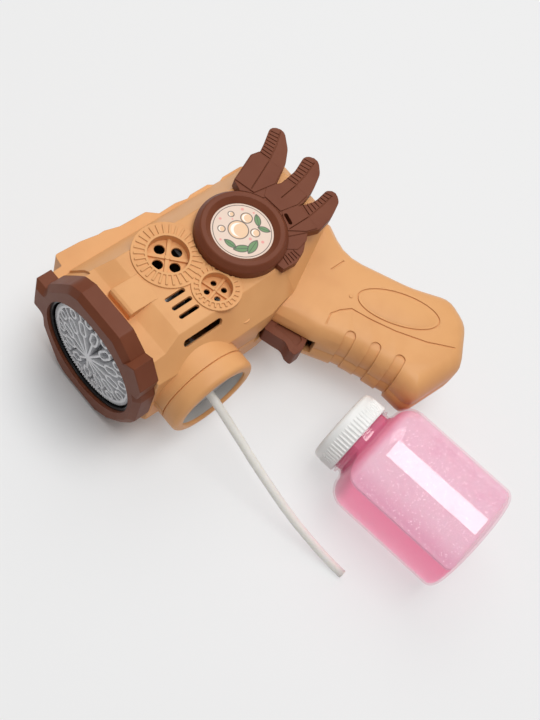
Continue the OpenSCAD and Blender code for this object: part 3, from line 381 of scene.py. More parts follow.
@dataclass(frozen=True)
class TintedWall:
    """Clear tinted plastic wall that looks denser where it is seen at a slant."""

    name: str = "pink_clear"
    colour: str = "FBB4CE"
    straight: float = 0.16
    slant: float = 0.26

    def make(self) -> bpy.types.Material:
        """Makes the material.

        Returns:
            The finished material.
        """
        g = Graph(self.name)
        facing = g.node("ShaderNodeLayerWeight", {}, 0.4, out=1)
        g.set(Base_Color=tint(self.colour), Roughness=0.04 + 0.04 * g.noise(90.0))
        g.set(Alpha=self.straight + self.slant * facing * facing)
        g.shader.inputs["IOR"].default_value = 2.0
        g.shader.inputs["Specular IOR Level"].default_value = 1.0
        g.bump(g.noise(45.0, 2.0), 0.00004)
        return g.material


@dataclass(frozen=True)
class SoapSolution:
    """Pink soap solution with a sheet of fine foam on its level surface."""

    name: str = "pink_liquid"
    mouth: tuple[float, float] = (BOTTLE_MOUTH[0] * MM, BOTTLE_MOUTH[1] * MM)
    yaw: float = BOTTLE_YAW
    level: float = LIQUID_LEVEL * MM
    neck: float = 0.021
    # The lighter low tone is painted light gathered at the bottom of the liquid.
    low: str = "FFAECB"
    high: str = "E4779B"
    throat: str = "D6336F"
    foam: str = "F3DAE5"
    foam_edge: str = "ECB8CF"
    speck: str = "FFFFFF"
    # Strength of the painted glow that stands in for light passing through the liquid.
    through: float = 0.46

    def make(self) -> bpy.types.Material:
        """Makes the material.

        Returns:
            The finished material.
        """
        g = Graph(self.name)
        x, y, z = g.axes(g.place())
        turn = math.radians(self.yaw)
        east, north = x - self.mouth[0], y - self.mouth[1]
        along = east * math.cos(turn) + north * math.sin(turn)
        near = east * math.sin(turn) - north * math.cos(turn)
        cloud = g.noise(70.0, 4.0)
        # Lighter at the bottom, darker up to the level: painted light that stands in for light gathered through the
        # liquid.
        clear = g.mix(z.ramp(0.0, self.level), tint(self.low), tint(self.high))
        clear = g.mix(along.inside(self.neck, 0.002), clear, tint(self.throat))
        rim = (near + 0.006 * (cloud - 0.5)).ramp(0.012, 0.03)
        froth = g.mix(rim.top(cloud.ramp(0.5, 0.75) * 0.5), tint(self.foam), tint(self.foam_edge))
        # White specks on the foam: painted glints of light on its bubbles.
        cells = g.node("ShaderNodeTexVoronoi", {"feature": "F1"}, Vector=g.place(), Scale=620.0)
        froth = g.mix(cells.inside(0.2, 0.08) * g.noise(900.0).ramp(0.5, 0.7) * 0.8, froth, tint(self.speck))
        sheet = z.ramp(self.level - 0.0016, self.level - 0.0004) * along.ramp(self.neck, self.neck + 0.006)
        colour = g.mix(sheet, clear, froth)
        # The liquid glows with painted light that stands in for light passing through it; the glow is cut back under
        # the foam and in the neck.
        dim = (sheet * 0.75).top(along.inside(self.neck + 0.006, 0.004) * 0.85)
        painted_glow = g.mix(dim, clear, tint("000000"))
        g.set(Base_Color=colour, Roughness=0.25 + 0.3 * sheet, Emission_Color=painted_glow)
        g.shader.inputs["Emission Strength"].default_value = self.through
        g.shader.inputs["Subsurface Weight"].default_value = 0.5
        g.shader.inputs["Subsurface Radius"].default_value = (0.006, 0.003, 0.004)
        g.bump(g.noise(500.0, 3.0), 0.0001)
        return g.material


@dataclass(frozen=True)
class FoamFilm:
    """Thin bright skin of small bubbles, whose glow is painted light: an emission that stands in for light sparkling
    in the foam.
    """

    name: str = "foam_film"
    colour: str = "FFF6FA"
    glow: float = 0.4

    def make(self) -> bpy.types.Material:
        """Makes the material.

        Returns:
            The finished material.
        """
        g = Graph(self.name)
        cloud = g.noise(300.0, 2.0)
        colour = g.mix(cloud, tint(self.colour), tint("F9DDE8"))
        # The emission is a painted glow that stands in for glints of light in the foam.
        g.set(Base_Color=colour, Roughness=0.12 + 0.1 * cloud, Emission_Color=colour)
        g.shader.inputs["Emission Strength"].default_value = self.glow
        g.bump(g.noise(2500.0), 0.00001)
        return g.material


@dataclass(frozen=True)
class BadgePrint:
    """Printed badge: soap bubbles and leaves with small dots on a beige ground, under a clear varnish."""

    name: str = "badge_print"
    centre: tuple[float, float] = (0.09, -0.001)
    radius: float = 0.0173
    ground: str = "E8CFBC"
    line: str = "40302A"
    leaf: str = "5F8B4F"
    vein: str = "35552F"
    bubble: str = "F0C79E"
    shine: str = "FFF8EE"
    dot: str = "E9988F"
    bubbles: tuple[tuple[float, float, float], ...] = (
        (-0.08, 0.1, 0.34), (0.42, 0.28, 0.2), (0.3, -0.28, 0.16), (-0.5, 0.42, 0.13), (0.1, 0.66, 0.11))
    leaves: tuple[tuple[float, float, float, float], ...] = (
        (-0.42, -0.48, 0.26, 150.0), (-0.1, -0.62, 0.27, 200.0), (-0.62, -0.14, 0.2, 105.0), (0.66, 0.02, 0.2, 60.0),
        (0.62, -0.34, 0.18, 125.0))
    dots: tuple[tuple[float, float, float], ...] = (
        (0.02, -0.36, 0.05), (-0.3, 0.72, 0.045), (0.52, 0.6, 0.05), (-0.78, 0.14, 0.04), (0.28, -0.66, 0.05),
        (0.02, 0.5, 0.03), (0.74, 0.3, 0.035))

    def make(self) -> bpy.types.Material:
        """Makes the material.

        Returns:
            The finished material.
        """
        g = Graph(self.name)
        x, y, _ = g.axes(g.place())
        u, v = (x - self.centre[0]) / self.radius, (y - self.centre[1]) / self.radius
        colour = g.mix(g.noise(400.0, 2.0) * 0.25, tint(self.ground), tint("DFC2AC"))
        for cx, cy, half, angle in self.leaves:
            colour = self.leaf_on(g, colour, u - cx, v - cy, half, math.radians(angle))
        for cx, cy, size in self.bubbles:
            far = self.far(u - cx, v - cy)
            colour = g.mix(far.inside(size, 0.012), colour, tint(self.line))
            colour = g.mix(far.inside(size - 0.03, 0.012), colour, tint(self.bubble))
            crescent = far.inside(size * 0.72, 0.02) * self.far(u - cx - 0.2 * size, v - cy + 0.2 * size).ramp(
                size * 0.68, size * 0.74)
            colour = g.mix(crescent, colour, tint(self.shine))
        for cx, cy, size in self.dots:
            colour = g.mix(self.far(u - cx, v - cy).inside(size, 0.012), colour, tint(self.dot))
        hoop = (self.far(u, v) - 0.93).size().inside(0.012, 0.008)
        g.set(Base_Color=g.mix(hoop, colour, tint(self.line)), Roughness=0.3 + 0.08 * g.noise(300.0), Coat_Weight=0.3)
        g.bump(g.noise(1500.0), 0.00001)
        return g.material

    def far(self, u: Value, v: Value) -> Value:
        """Distance from the origin of two coordinates."""
        return (u * u + v * v).root()

    def leaf_on(self, g: Graph, ground: Value, u: Value, v: Value, half: float, angle: float) -> Value:
        """Paints one leaf.

        Args:
            g: Tree of the print.
            ground: Colour under the leaf.
            u: First coordinate from the leaf's middle.
            v: Second coordinate from the leaf's middle.
            half: Half of its length.
            angle: Direction of its length, in radians.

        Returns:
            The colour with the leaf on it.
        """
        side = v * math.cos(angle) - u * math.sin(angle)
        length = u * math.cos(angle) + v * math.sin(angle)
        for grow, code in ((0.025, self.line), (0.0, self.leaf)):
            long, wide = half + 1.6 * grow, 0.42 * half + grow
            arc = (long * long + wide * wide) / (2 * wide)
            off = arc - wide
            shape = self.far(length, side + off).inside(arc, 0.012) * self.far(length, side - off).inside(arc, 0.012)
            ground = g.mix(shape, ground, tint(code))
        stem = side.size().inside(0.012, 0.008) * length.size().inside(half * 0.9, 0.01)
        return g.mix(stem, ground, tint(self.vein))


@dataclass(frozen=True)
class Finishes:
    """All finishes of the blower, one material each."""

    caramel: MouldedPlastic = MouldedPlastic("caramel_plastic", "E7AB71", "E0A269", gloss=0.26)
    brown: MouldedPlastic = MouldedPlastic("brown_plastic", "79432C", "723C26", roughness=0.46, gloss=0.22)
    pale: MouldedPlastic = MouldedPlastic("pale_plastic", "F0F0F2", "E8E8EB", roughness=0.36)
    black: MouldedPlastic = MouldedPlastic("black_plastic", "1A1A1B", "141415", roughness=0.3)
    white: MouldedPlastic = MouldedPlastic("white_plastic", "ECEBE7", "E4E2DC", roughness=0.5)
    cap: MouldedPlastic = MouldedPlastic("cap_plastic", "F6F6F4", "EFEFEC", roughness=0.45, edge=0.0003)
    seal: MouldedPlastic = MouldedPlastic("soft_seal", "C9C8C6", "BFBEBC", roughness=0.6)
    cell: MouldedPlastic = MouldedPlastic("cell_wrap", "3F7D54", "376F4B", roughness=0.3)
    red: MouldedPlastic = MouldedPlastic("red_plastic", "B53A32", "A8322B")
    print_disc: BadgePrint = BadgePrint()
    steel: PlainMetal = PlainMetal("steel", "B8BBBF")
    brass: PlainMetal = PlainMetal("brass", "C9A24B", 0.25)
    tube: SoftTube = SoftTube()
    bottle: TintedWall = TintedWall()
    liquid: SoapSolution = SoapSolution()
    foam: FoamFilm = FoamFilm()


SLOT_FINISH = {
    "caramel_plastic": "caramel", "brown_plastic": "brown", "pale_plastic": "pale", "black_plastic": "black",
    "white_plastic": "white", "cap_plastic": "cap", "soft_seal": "seal", "cell_wrap": "cell", "red_plastic": "red",
    "badge_print": "print_disc", "steel": "steel", "brass": "brass", "soft_tube": "tube", "pink_clear": "bottle",
    "pink_liquid": "liquid",
}


@dataclass
class Viewpoint:
    """Camera at the photograph's viewing angle."""

    place: tuple[float, float, float] = (-0.2001, -0.1705, 0.5736)
    right: tuple[float, float, float] = (0.727, -0.643, 0.241)
    up: tuple[float, float, float] = (0.516, 0.743, 0.427)
    back: tuple[float, float, float] = (-0.453, -0.186, 0.872)
    lens: float = 55.0

    def build(self) -> None:
        """Makes the camera and sets it in the scene."""
        data = bpy.data.cameras.new("photo_view")
        data.lens = self.lens
        data.sensor_width = 36.0
        data.clip_start = 0.01
        camera = bpy.data.objects.new("photo_view", data)
        turn = Matrix((self.right, self.up, self.back)).transposed().to_4x4()
        camera.matrix_world = Matrix.Translation(self.place) @ turn
        bpy.context.scene.collection.objects.link(camera)
        bpy.context.scene.camera = camera


@dataclass(frozen=True)
class Lamp:
    """Flat lamp that points at the blower, or straight down where it has a turn."""

    name: str
    place: tuple[float, float, float]
    sides: tuple[float, float]
    power: float
    turn: float | None = None
    target: tuple[float, float, float] = (0.08, -0.06, 0.03)

    def build(self) -> None:
        """Adds the lamp to the scene."""
        data = bpy.data.lights.new(self.name, "AREA")
        data.shape = "RECTANGLE"
        data.size, data.size_y = self.sides
        data.energy = self.power
        made = bpy.data.objects.new(self.name, data)
        made.location = self.place
        if self.turn is None:
            aim = Vector(self.target) - Vector(self.place)
            made.rotation_euler = aim.to_track_quat("-Z", "Y").to_euler()
        else:
            made.rotation_euler = (0, 0, math.radians(self.turn))
        bpy.context.scene.collection.objects.link(made)


@dataclass
class Studio:
    """Pale floor, pale surroundings and soft lamps."""

    floor_colour: str = "F0F0F0"
    half: float = 3.0
    even: float = 0.62
    near_fade: tuple[float, float] = (-0.024, 0.024)
    far_fade: tuple[float, float] = (0.12, 0.6)
    sky_light: float = 0.3
    lamps: tuple[Lamp, ...] = (
        Lamp("key", (0.16, -0.18, 1.2), (0.8, 0.46), 7.2, 8.0), Lamp("fill", (0.7, 0.6, 1.2), (1.0, 1.0), 6.4))
    footprint: tuple[tuple[tuple[float, float], tuple[float, float], float], ...] = (
        ((0.0, 0.0), (0.12, 0.0), 0.042), ((0.105, -0.01), (0.16, -0.1), 0.016))

    def build(self) -> None:
        """Makes the floor, the lamps and the world."""
        mesh = bpy.data.meshes.new("floor")
        h = self.half
        mesh.from_pydata([(-h, -h, 0), (h, -h, 0), (h, h, 0), (-h, h, 0)], [], [(0, 1, 2, 3)])
        floor = bpy.data.objects.new("floor", mesh)
        bpy.context.scene.collection.objects.link(floor)
        mesh.materials.append(self.paper())
        for lamp in self.lamps:
            lamp.build()
        world = bpy.data.worlds.new("studio")
        world.use_nodes = True
        nodes, links = world.node_tree.nodes, world.node_tree.links
        light = nodes["Background"]
        light.inputs[0].default_value = (1, 1, 1, 1)
        light.inputs[1].default_value = self.sky_light
        sky = nodes.new("ShaderNodeBackground")
        sky.inputs[0].default_value = tint(self.floor_colour)
        blend = nodes.new("ShaderNodeMixShader")
        links.new(nodes.new("ShaderNodeLightPath").outputs["Is Camera Ray"], blend.inputs[0])
        links.new(light.outputs[0], blend.inputs[1])
        links.new(sky.outputs[0], blend.inputs[2])
        links.new(blend.outputs[0], nodes["World Output"].inputs["Surface"])
        bpy.context.scene.world = world

    def paper(self) -> bpy.types.Material:
        """Makes the floor's pale paper, whose own tone the camera sees for a part, so that shadows stay faint.

        Returns:
            The floor's material.
        """
        g = Graph("floor_paper")
        g.set(Base_Color=tint(self.floor_colour), Roughness=0.9)
        rays = g.tree.nodes.new("ShaderNodeLightPath").outputs
        camera, glossy, through = (Value(g, rays[f"Is {kind} Ray"]) for kind in ("Camera", "Glossy", "Transmission"))
        seen = camera + glossy + through
        glow = g.node("ShaderNodeEmission", {}, tint(self.floor_colour), 1.0)
        gap = self.footprint_gap(g)
        shown = self.even * gap.ramp(*self.near_fade) + (1.0 - self.even) * gap.ramp(*self.far_fade)
        share = seen.least(1.0) * shown
        blend = g.node("ShaderNodeMixShader", {}, share, Value(g, g.shader.outputs[0]), glow)
        g.tree.links.new(blend.socket, g.output.inputs["Surface"])
        return g.material

    def footprint_gap(self, g: Graph) -> Value:
        """Distance of the floor's points from the blower's footprint.

        Args:
            g: Tree of the floor.

        Returns:
            The distance in metres, negative under the blower.
        """
        x, y, _ = g.axes(g.place())
        near = None
        for (ax, ay), (bx, by), half in self.footprint:
            length = math.hypot(bx - ax, by - ay)
            ux, uy = (bx - ax) / length, (by - ay) / length
            along = ((x - ax) * ux + (y - ay) * uy).top(0.0).least(length)
            east, north = x - ax - along * ux, y - ay - along * uy
            gap = (east * east + north * north).root() - half
            near = gap if near is None else near.least(gap)
        return near


def node_body(node: str) -> str:
    """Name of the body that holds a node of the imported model."""
    bodies = frame["record"]["behaviour"]["bodies"]
    return next(name for name, nodes in bodies.items() if node in nodes)


def node_slot(node: str) -> str:
    """Material slot that the record gives a node."""
    return next(s["material_slot"] for s in frame["record"]["subparts"] if s["node"] == node)


def new_piece(mesh: bpy.types.Mesh, material: bpy.types.Material, body: str, name: str = "",
              stands_for: str = "") -> bpy.types.Object:
    """Puts a finished mesh in the scene and lets it ride on a body.

    Args:
        mesh: Mesh of the piece, in place.
        material: Its finish.
        body: Body that it moves with.
        name: Its name, if it isn't the mesh's.
        stands_for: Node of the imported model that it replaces, if any.

    Returns:
        The new object.
    """
    mesh.materials.clear()
    mesh.materials.append(material)
    made = bpy.data.objects.new(name or mesh.name, mesh)
    bpy.context.scene.collection.objects.link(made)
    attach(made, body)
    if stands_for:
        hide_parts(stands_for)
    log.info("piece %s rides on %s", made.name, body)
    return made


def bridge(bm: bmesh.types.BMesh, rings: Sequence[Sequence[bmesh.types.BMVert]], smooth: bool = True) -> None:
    """Joins rings of points by faces.

    Args:
        bm: Mesh that holds the points.
        rings: Rings of as many points each, where a single point on the axis may stand for a ring.
        smooth: Whether the faces are shaded smooth.
    """
    for a, b in zip(rings, rings[1:]):
        count = max(len(a), len(b))
        for i in range(count if count > 1 else 0):
            loop = [a[i % len(a)], a[(i + 1) % len(a)], b[(i + 1) % len(b)], b[i % len(b)]]
            bm.faces.new(list(dict.fromkeys(loop))).smooth = smooth


def closed(bm: bmesh.types.BMesh, name: str, sharp: float | None = None) -> bpy.types.Mesh:
    """Turns a finished solid into a mesh.

    Args:
        bm: The solid, which is freed.
        name: Name of the mesh.
        sharp: Angle in degrees from which an edge stays sharp, if edges are to be marked.

    Returns:
        The new mesh.
    """
    if sharp is not None:
        for edge in bm.edges:
            edge.smooth = edge.is_manifold and edge.calc_face_angle(0.0) < math.radians(sharp)
    mesh = bpy.data.meshes.new(name)
    bm.to_mesh(mesh)
    bm.free()
    return mesh


def chamfer_seam(bm: bmesh.types.BMesh, depth: float) -> None:
    """Draws in the rim of a shell half at the parting plane, so that the two halves meet in a fine groove.

    Args:
        bm: Mesh of the half.
        depth: Depth and half breadth of the groove, in metres.
    """
    parting = HALF_WIDTH * MM
    for level in (parting + depth, parting - depth):
        parts = [*bm.verts, *bm.edges, *bm.faces]
        bmesh.ops.bisect_plane(bm, geom=parts, dist=1e-7, plane_co=(0, 0, level), plane_no=(0, 0, 1))
    bm.normal_update()
    shifts = {}
    for vert in (v for v in bm.verts if abs(v.co.z - parting) < MERGE):
        walls = [f for f in vert.link_faces if abs(f.normal.z) < 0.7]
        out = sum((f.normal * f.calc_area() for f in walls), Vector())
        if walls and out.length > 1e-12:
            shifts[vert] = out.normalized() * depth
    for vert, shift in shifts.items():
        vert.co -= shift
    log.info("seam of %d points drawn in", len(shifts))


def welded(node: str, sharp: float = 18.0, handle: float = 34.0, seam: float = 0.0) -> bpy.types.Mesh:
    """Copy of a node's mesh with merged points and smooth shading between sharp edges.

    Args:
        node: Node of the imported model.
        sharp: Angle in degrees from which an edge stays sharp.
        handle: The same angle on the rounded sides of the handle.
        seam: Chamfer of the edges in the parting plane, in metres.

    Returns:
        The new mesh.
    """
    low, high = (spot(*corner, 0.0) for corner in HANDLE_BOX)
    bm = bmesh.new()
    bm.from_mesh(frame["nodes"][node].data)
    bmesh.ops.remove_doubles(bm, verts=bm.verts, dist=MERGE)
    bmesh.ops.dissolve_degenerate(bm, edges=bm.edges, dist=MERGE)
    if seam > 0:
        chamfer_seam(bm, seam)
    for face in bm.faces:
        face.smooth = True
    for edge in bm.edges:
        held = all(low[k] < vert.co[k] < high[k] for vert in edge.verts for k in (0, 1))
        edge.smooth = edge.is_manifold and edge.calc_face_angle(0.0) < math.radians(handle if held else sharp)
    return closed(bm, node)


@dataclass
class Hose:
    """Suction hose: a bare cut tube from the seal to the surface."""

    route: tuple[tuple[float, float, float], ...] = (
        (41, -49.2, 0), (41, -53.5, 0), (41.3, -58, -1.6), (42, -64, -5), (42.5, -72, -9), (43, -82, -13.6),
        (43.2, -92, -18), (43.5, -102, -22), (44, -112, -26), (44.6, -123, -30.2), (45.6, -134, -34.2),
        (47, -145, -37.8), (48.4, -155, -40.6), (49.8, -164, -42.6), (51, -171, -43.4))
    radius: float = 0.0025
    bore: float = 0.0016
    bore_depth: float = 0.008
    sides: int = 32

    def build(self, material: bpy.types.Material) -> bpy.types.Object:
        """Args:
            material: Finish of the tube.

        Returns:
            The hose.
        """
        path = [spot(*p) for p in self.route]
        last = path[-1] + (path[-2] - path[-1]).normalized() * self.bore_depth
        stations = [(p, self.radius) for p in path] + [(path[-1], self.bore), (last, self.bore)]
        bm = bmesh.new()
        rings = []
        side = Vector((0, 0, 1))
        for i, (point, radius) in enumerate(stations):
            k = min(i, len(path) - 1)
            along = (path[min(k + 1, len(path) - 1)] - path[max(k - 1, 0)]).normalized()
            side = (side - side.dot(along) * along).normalized()
            across = along.cross(side)
            turns = [2 * math.pi * j / self.sides for j in range(self.sides)]
            rings.append([bm.verts.new(point + radius * (math.cos(t) * side + math.sin(t) * across)) for t in turns])
        bridge(bm, rings)
        bm.faces.new(rings[0])
        bm.faces.new(rings[-1])
        bmesh.ops.recalc_face_normals(bm, faces=bm.faces)
        made = new_piece(closed(bm, "suction_hose_tube"), material, Body.BLOWER.value,
                         stands_for="suction_hose")
        return made


class Growth:
    """Geometry Nodes tree with named sizes that ends in plain geometry with one finish."""

    def __init__(self, name: str, **sizes: float) -> None:
        """Starts a tree with one input for each size.

        Args:
            name: Name of the tree.
            **sizes: Values of its inputs by name.
        """
        self.sizes = sizes
        self.tree = bpy.data.node_groups.new(name, "GeometryNodeTree")
        self.tree.interface.new_socket("Geometry", in_out="INPUT", socket_type="NodeSocketGeometry")
        for key, size in sizes.items():
            kind = "NodeSocketInt" if isinstance(size, int) else "NodeSocketFloat"
            self.tree.interface.new_socket(key, in_out="INPUT", socket_type=kind)
        self.tree.interface.new_socket("Geometry", in_out="OUTPUT", socket_type="NodeSocketGeometry")
        self.start = self.tree.nodes.new("NodeGroupInput")
        self.end = self.tree.nodes.new("NodeGroupOutput")

    def size(self, key: str) -> bpy.types.NodeSocket:
        """Socket of a named size, or of the geometry that comes in."""
        return self.start.outputs[key]

    def node(self, kind: str, settings: dict[str, Any] | None = None, **named: Any) -> bpy.types.Node:
        """Adds a node.

        Args:
            kind: Type of the node.
            settings: Properties, set before the sockets.
            **named: Values, or sockets to link, by input name with underscores for spaces.

        Returns:
            The node.
        """
        made = self.tree.nodes.new(kind)
        for key, setting in (settings or {}).items():
            setattr(made, key, setting)
        for key, value in named.items():
            socket = next(s for s in made.inputs if s.name == key.replace("_", " ") and s.enabled)
            if isinstance(value, bpy.types.NodeSocket):
                self.tree.links.new(value, socket)
            else:
                socket.default_value = value
        return made

    def grow(self, last: bpy.types.NodeSocket, base: bpy.types.Mesh, material: bpy.types.Material) -> bpy.types.Mesh:
        """Ends the tree and turns its result into a plain mesh.

        Args:
            last: Geometry to realize.
            base: Mesh that the tree starts from.
            material: Finish of the result.

        Returns:
            The mesh.
        """
        real = self.node("GeometryNodeRealizeInstances", Geometry=last)
        done = self.node("GeometryNodeSetMaterial", Geometry=real.outputs[0], Material=material)
        self.tree.links.new(done.outputs[0], self.end.inputs[0])
        holder = bpy.data.objects.new(self.tree.name, base)
        bpy.context.scene.collection.objects.link(holder)
        modifier = holder.modifiers.new("grow", "NODES")
        modifier.node_group = self.tree
        for item in self.tree.interface.items_tree:
            if item.in_out == "INPUT" and item.name in self.sizes:
                modifier[item.identifier] = self.sizes[item.name]
        graph = bpy.context.evaluated_depsgraph_get()
        mesh = bpy.data.meshes.new_from_object(holder.evaluated_get(graph))
        holder.modifiers.remove(modifier)
        bpy.data.objects.remove(holder)
        return mesh


@dataclass
class Bottle:
    """Bubble bottle on its side, with its soap solution, foam and ribbed cap."""

    mouth: tuple[float, float] = BOTTLE_MOUTH
    yaw: float = BOTTLE_YAW
    radius: float = 34.5
    length: float = 78.0
    neck_radius: float = 20.5
    neck_height: float = 19.0
    shoulder: float = 12.0
    heel: float = 5.0
    wall: float = 1.2
    inset: float = 1.35
    level: float = LIQUID_LEVEL
    rim: float = 2.0
    bead: float = 1.6
    fill_start: float = 4.0
    cap_radius: float = 22.35
    cap_height: float = 14.0
    cap_round: float = 3.2
    cap_bore: float = 21.5
    cap_top: float = 1.4
    ribs: int = 60
    rib_radius: float = 0.85
    steps: int = 96
    bubbles: int = 700
    bubble_sizes: tuple[float, float] = (0.14, 0.4)
    seed: int = 7

    def lay(self) -> Matrix:
        """Placement of the bottle's own axis, mouth first, in millimetres."""
        place = Matrix.Translation((*self.mouth, self.radius))
        return place @ Matrix.Rotation(math.radians(self.yaw), 4, "Z") @ Matrix.Rotation(math.pi / 2, 4, "Y")

    def turned(self, profile: Sequence[tuple[float, float]], name: str) -> bmesh.types.BMesh:
        """Solid of revolution about the bottle's axis.

        Args:
            profile: Radius and distance from the mouth along the outline, both ends on the axis.
            name: Word for the log.

        Returns:
            The closed solid, laid in place and in metres.
        """
        bm = bmesh.new()
        rings = []
        for r, s in profile:
            turns = [2 * math.pi * i / self.steps for i in range(self.steps)] if r > 0 else [0.0]
            rings.append([bm.verts.new((r * math.cos(t), r * math.sin(t), s)) for t in turns])
        bridge(bm, rings)
        bmesh.ops.recalc_face_normals(bm, faces=bm.faces)
        bm.transform(Matrix.Scale(MM, 4) @ self.lay())
        log.info("turned %s with %d faces", name, len(bm.faces))
        return bm

    def arc(self, r: float, s: float, size: float, first: float, last: float) -> list[tuple[float, float]]:
        """Points of a round corner.

        Args:
            r: Radius at the corner's centre.
            s: Distance from the mouth at the corner's centre.
            size: Radius of the corner.
            first: Angle at its beginning, in degrees from the radial direction.
            last: Angle at its end.

        Returns:
            The points in order.
        """
        angles = [math.radians(first + (last - first) * i / 8) for i in range(9)]
        return [(r + size * math.cos(a), s + size * math.sin(a)) for a in angles]

    def outline(self, t: float) -> list[tuple[float, float]]:
        """Half section of the body and its base from the neck on.

        Args:
            t: How far it is drawn in from the outside.

        Returns:
            Radius and distance from the mouth, ending on the axis.
        """
        end = self.neck_height + self.length
        points = [(self.neck_radius - t, self.neck_height - 1.0)]
        points += self.arc(self.radius - self.shoulder, self.neck_height + self.shoulder, self.shoulder - t, -90, 0)
        first, last = points[-1][1], end - self.heel
        points += [(self.radius - t, first + (last - first) * k) for k in (0.02, 0.3, 0.6, 0.98)]
        points += self.arc(self.radius - self.heel, end - self.heel, self.heel - t, 0, 90)
        middle = self.radius - self.heel
        return points + [(middle * 0.96, end - t), (middle * 0.5, end - t), (0.0, end - t)]

    def build_wall(self, material: bpy.types.Material) -> bpy.types.Object:
        """Makes the blown bottle with its neck, transfer bead and even wall.

        Args:
            material: Finish of the wall.

        Returns:
            The bottle.
        """
        n, b = self.neck_radius, self.cap_height + 0.6
        out, m = n + self.bead, self.rim
        neck = [(n - self.wall, m), (n - 0.3, m), (n, m + 0.3), (n, b), (out - 0.4, b + 0.3), (out, b + 0.7),
                (out, b + 1.3), (out - 0.4, b + 1.7), (n, b + 2.0)]
        inner = self.outline(self.wall)[::-1] + [(n - self.wall, m + 0.6)]
        bm = self.turned(neck + self.outline(0.0) + inner + neck[:1], "bottle")
        bmesh.ops.remove_doubles(bm, verts=bm.verts, dist=MERGE)
        bmesh.ops.recalc_face_normals(bm, faces=bm.faces)
        mesh = closed(bm, "bottle_wall", 40.0)
        return new_piece(mesh, material, Body.BOTTLE.value, stands_for="bottle")

    def build_liquid(self, material: bpy.types.Material) -> bpy.types.Object:
        """Makes the soap solution with its level surface.

        Args:
            material: Finish of the liquid.

        Returns:
            The liquid.
        """
        neck = [(0.0, self.fill_start), (self.neck_radius - self.inset, self.fill_start)]
        bm = self.turned(neck + self.outline(self.inset), "liquid")
        parts = [*bm.verts, *bm.edges, *bm.faces]
        cut = bmesh.ops.bisect_plane(bm, geom=parts, plane_co=(0, 0, self.level * MM), plane_no=(0, 0, 1),
                                     clear_outer=True)
        border = [e for e in cut["geom_cut"] if isinstance(e, bmesh.types.BMEdge)]
        top = bmesh.ops.contextual_create(bm, geom=border)["faces"]
        bmesh.ops.triangulate(bm, faces=top)
        bmesh.ops.recalc_face_normals(bm, faces=bm.faces)
        mesh = closed(bm, "soap_solution", 35.0)
        return new_piece(mesh, material, Body.BOTTLE.value, stands_for="bottle_liquid")

    def build_foam(self, material: bpy.types.Material) -> bpy.types.Object:
        """Scatters fine bubbles over the level surface.

        Args:
            material: Finish of the bubbles.

        Returns:
            The bubbles.
        """
        half = math.sqrt((self.radius - self.inset) ** 2 - (self.level - self.radius) ** 2) - 0.8
        first, last = self.neck_height + 8.0, self.neck_height + self.length - self.inset - 2.0
        turn = Matrix.Translation((*self.mouth, 0)) @ Matrix.Rotation(math.radians(self.yaw), 4, "Z")
        corners = [turn @ Vector((s, w, self.level)) * MM for s, w in (
            (first, -half), (last, -half), (last, half), (first, half))]
        sheet = bpy.data.meshes.new("foam_sheet")
        sheet.from_pydata([tuple(c) for c in corners], [], [(0, 1, 2, 3)])
        area = (last - first) * 2 * half * MM * MM
        small, large = (size * MM for size in self.bubble_sizes)
        tree = Growth("foam_bubbles", Density=self.bubbles / area, Seed=self.seed, Smallest=small, Largest=large)
        points = tree.node("GeometryNodeDistributePointsOnFaces", Mesh=tree.size("Geometry"),
                           Density=tree.size("Density"), Seed=tree.size("Seed"))
        ball = tree.node("GeometryNodeMeshIcoSphere", Radius=1.0, Subdivisions=1)
        spread = tree.node("FunctionNodeRandomValue", {"data_type": "FLOAT"}, Min=tree.size("Smallest"),
                           Max=tree.size("Largest"), Seed=tree.size("Seed"))
        size = next(s for s in spread.outputs if s.enabled)
        copies = tree.node("GeometryNodeInstanceOnPoints", Points=points.outputs[0], Instance=ball.outputs[0],
                           Scale=size)
        soft = tree.node("GeometryNodeSetShadeSmooth", Geometry=copies.outputs[0])
        mesh = tree.grow(soft.outputs[0], sheet, material)
        return new_piece(mesh, material, Body.BOTTLE.value, name="foam_bubbles")

    def build_cap(self, material: bpy.types.Material) -> bpy.types.Object:
        """Makes the cap with its rounded top edge and ribbed skirt.

        Args:
            material: Finish of the cap.

        Returns:
            The cap.
        """
        r, c, h = self.cap_radius, self.cap_round, self.cap_height
        profile = [(0.0, 0.0)] + self.arc(r - c, c, c, -90, 0) + [(r, h - 0.3), (r - 0.3, h), (self.cap_bore, h)]
        bm = self.turned(profile + [(self.cap_bore, self.cap_top), (0.0, self.cap_top)], "cap")
        mesh = closed(bm, "cap_shell", 35.0)
        tree = Growth("cap_ribs", Count=self.ribs, Ring=(r + 0.45 - self.rib_radius) * MM, Rib=self.rib_radius * MM,
                      Top=(c + 0.9) * MM, Foot=(h - 0.4) * MM)
        ring = tree.node("GeometryNodeMeshCircle", Vertices=tree.size("Count"), Radius=tree.size("Ring"))
        top = tree.node("ShaderNodeCombineXYZ", Z=tree.size("Top"))
        foot = tree.node("ShaderNodeCombineXYZ", Z=tree.size("Foot"))
        line = tree.node("GeometryNodeCurvePrimitiveLine", Start=top.outputs[0], End=foot.outputs[0])
        fine = tree.node("GeometryNodeResampleCurve", Curve=line.outputs[0], Count=9)
        share = tree.node("GeometryNodeSplineParameter")
        taper = tree.node("ShaderNodeMapRange", {"interpolation_type": "SMOOTHSTEP"}, Value=share.outputs[0],
                          From_Min=-0.12, From_Max=0.25)
        bar = tree.node("GeometryNodeSetCurveRadius", Curve=fine.outputs[0], Radius=taper.outputs[0])
        round_bar = tree.node("GeometryNodeCurvePrimitiveCircle", Resolution=10, Radius=tree.size("Rib"))
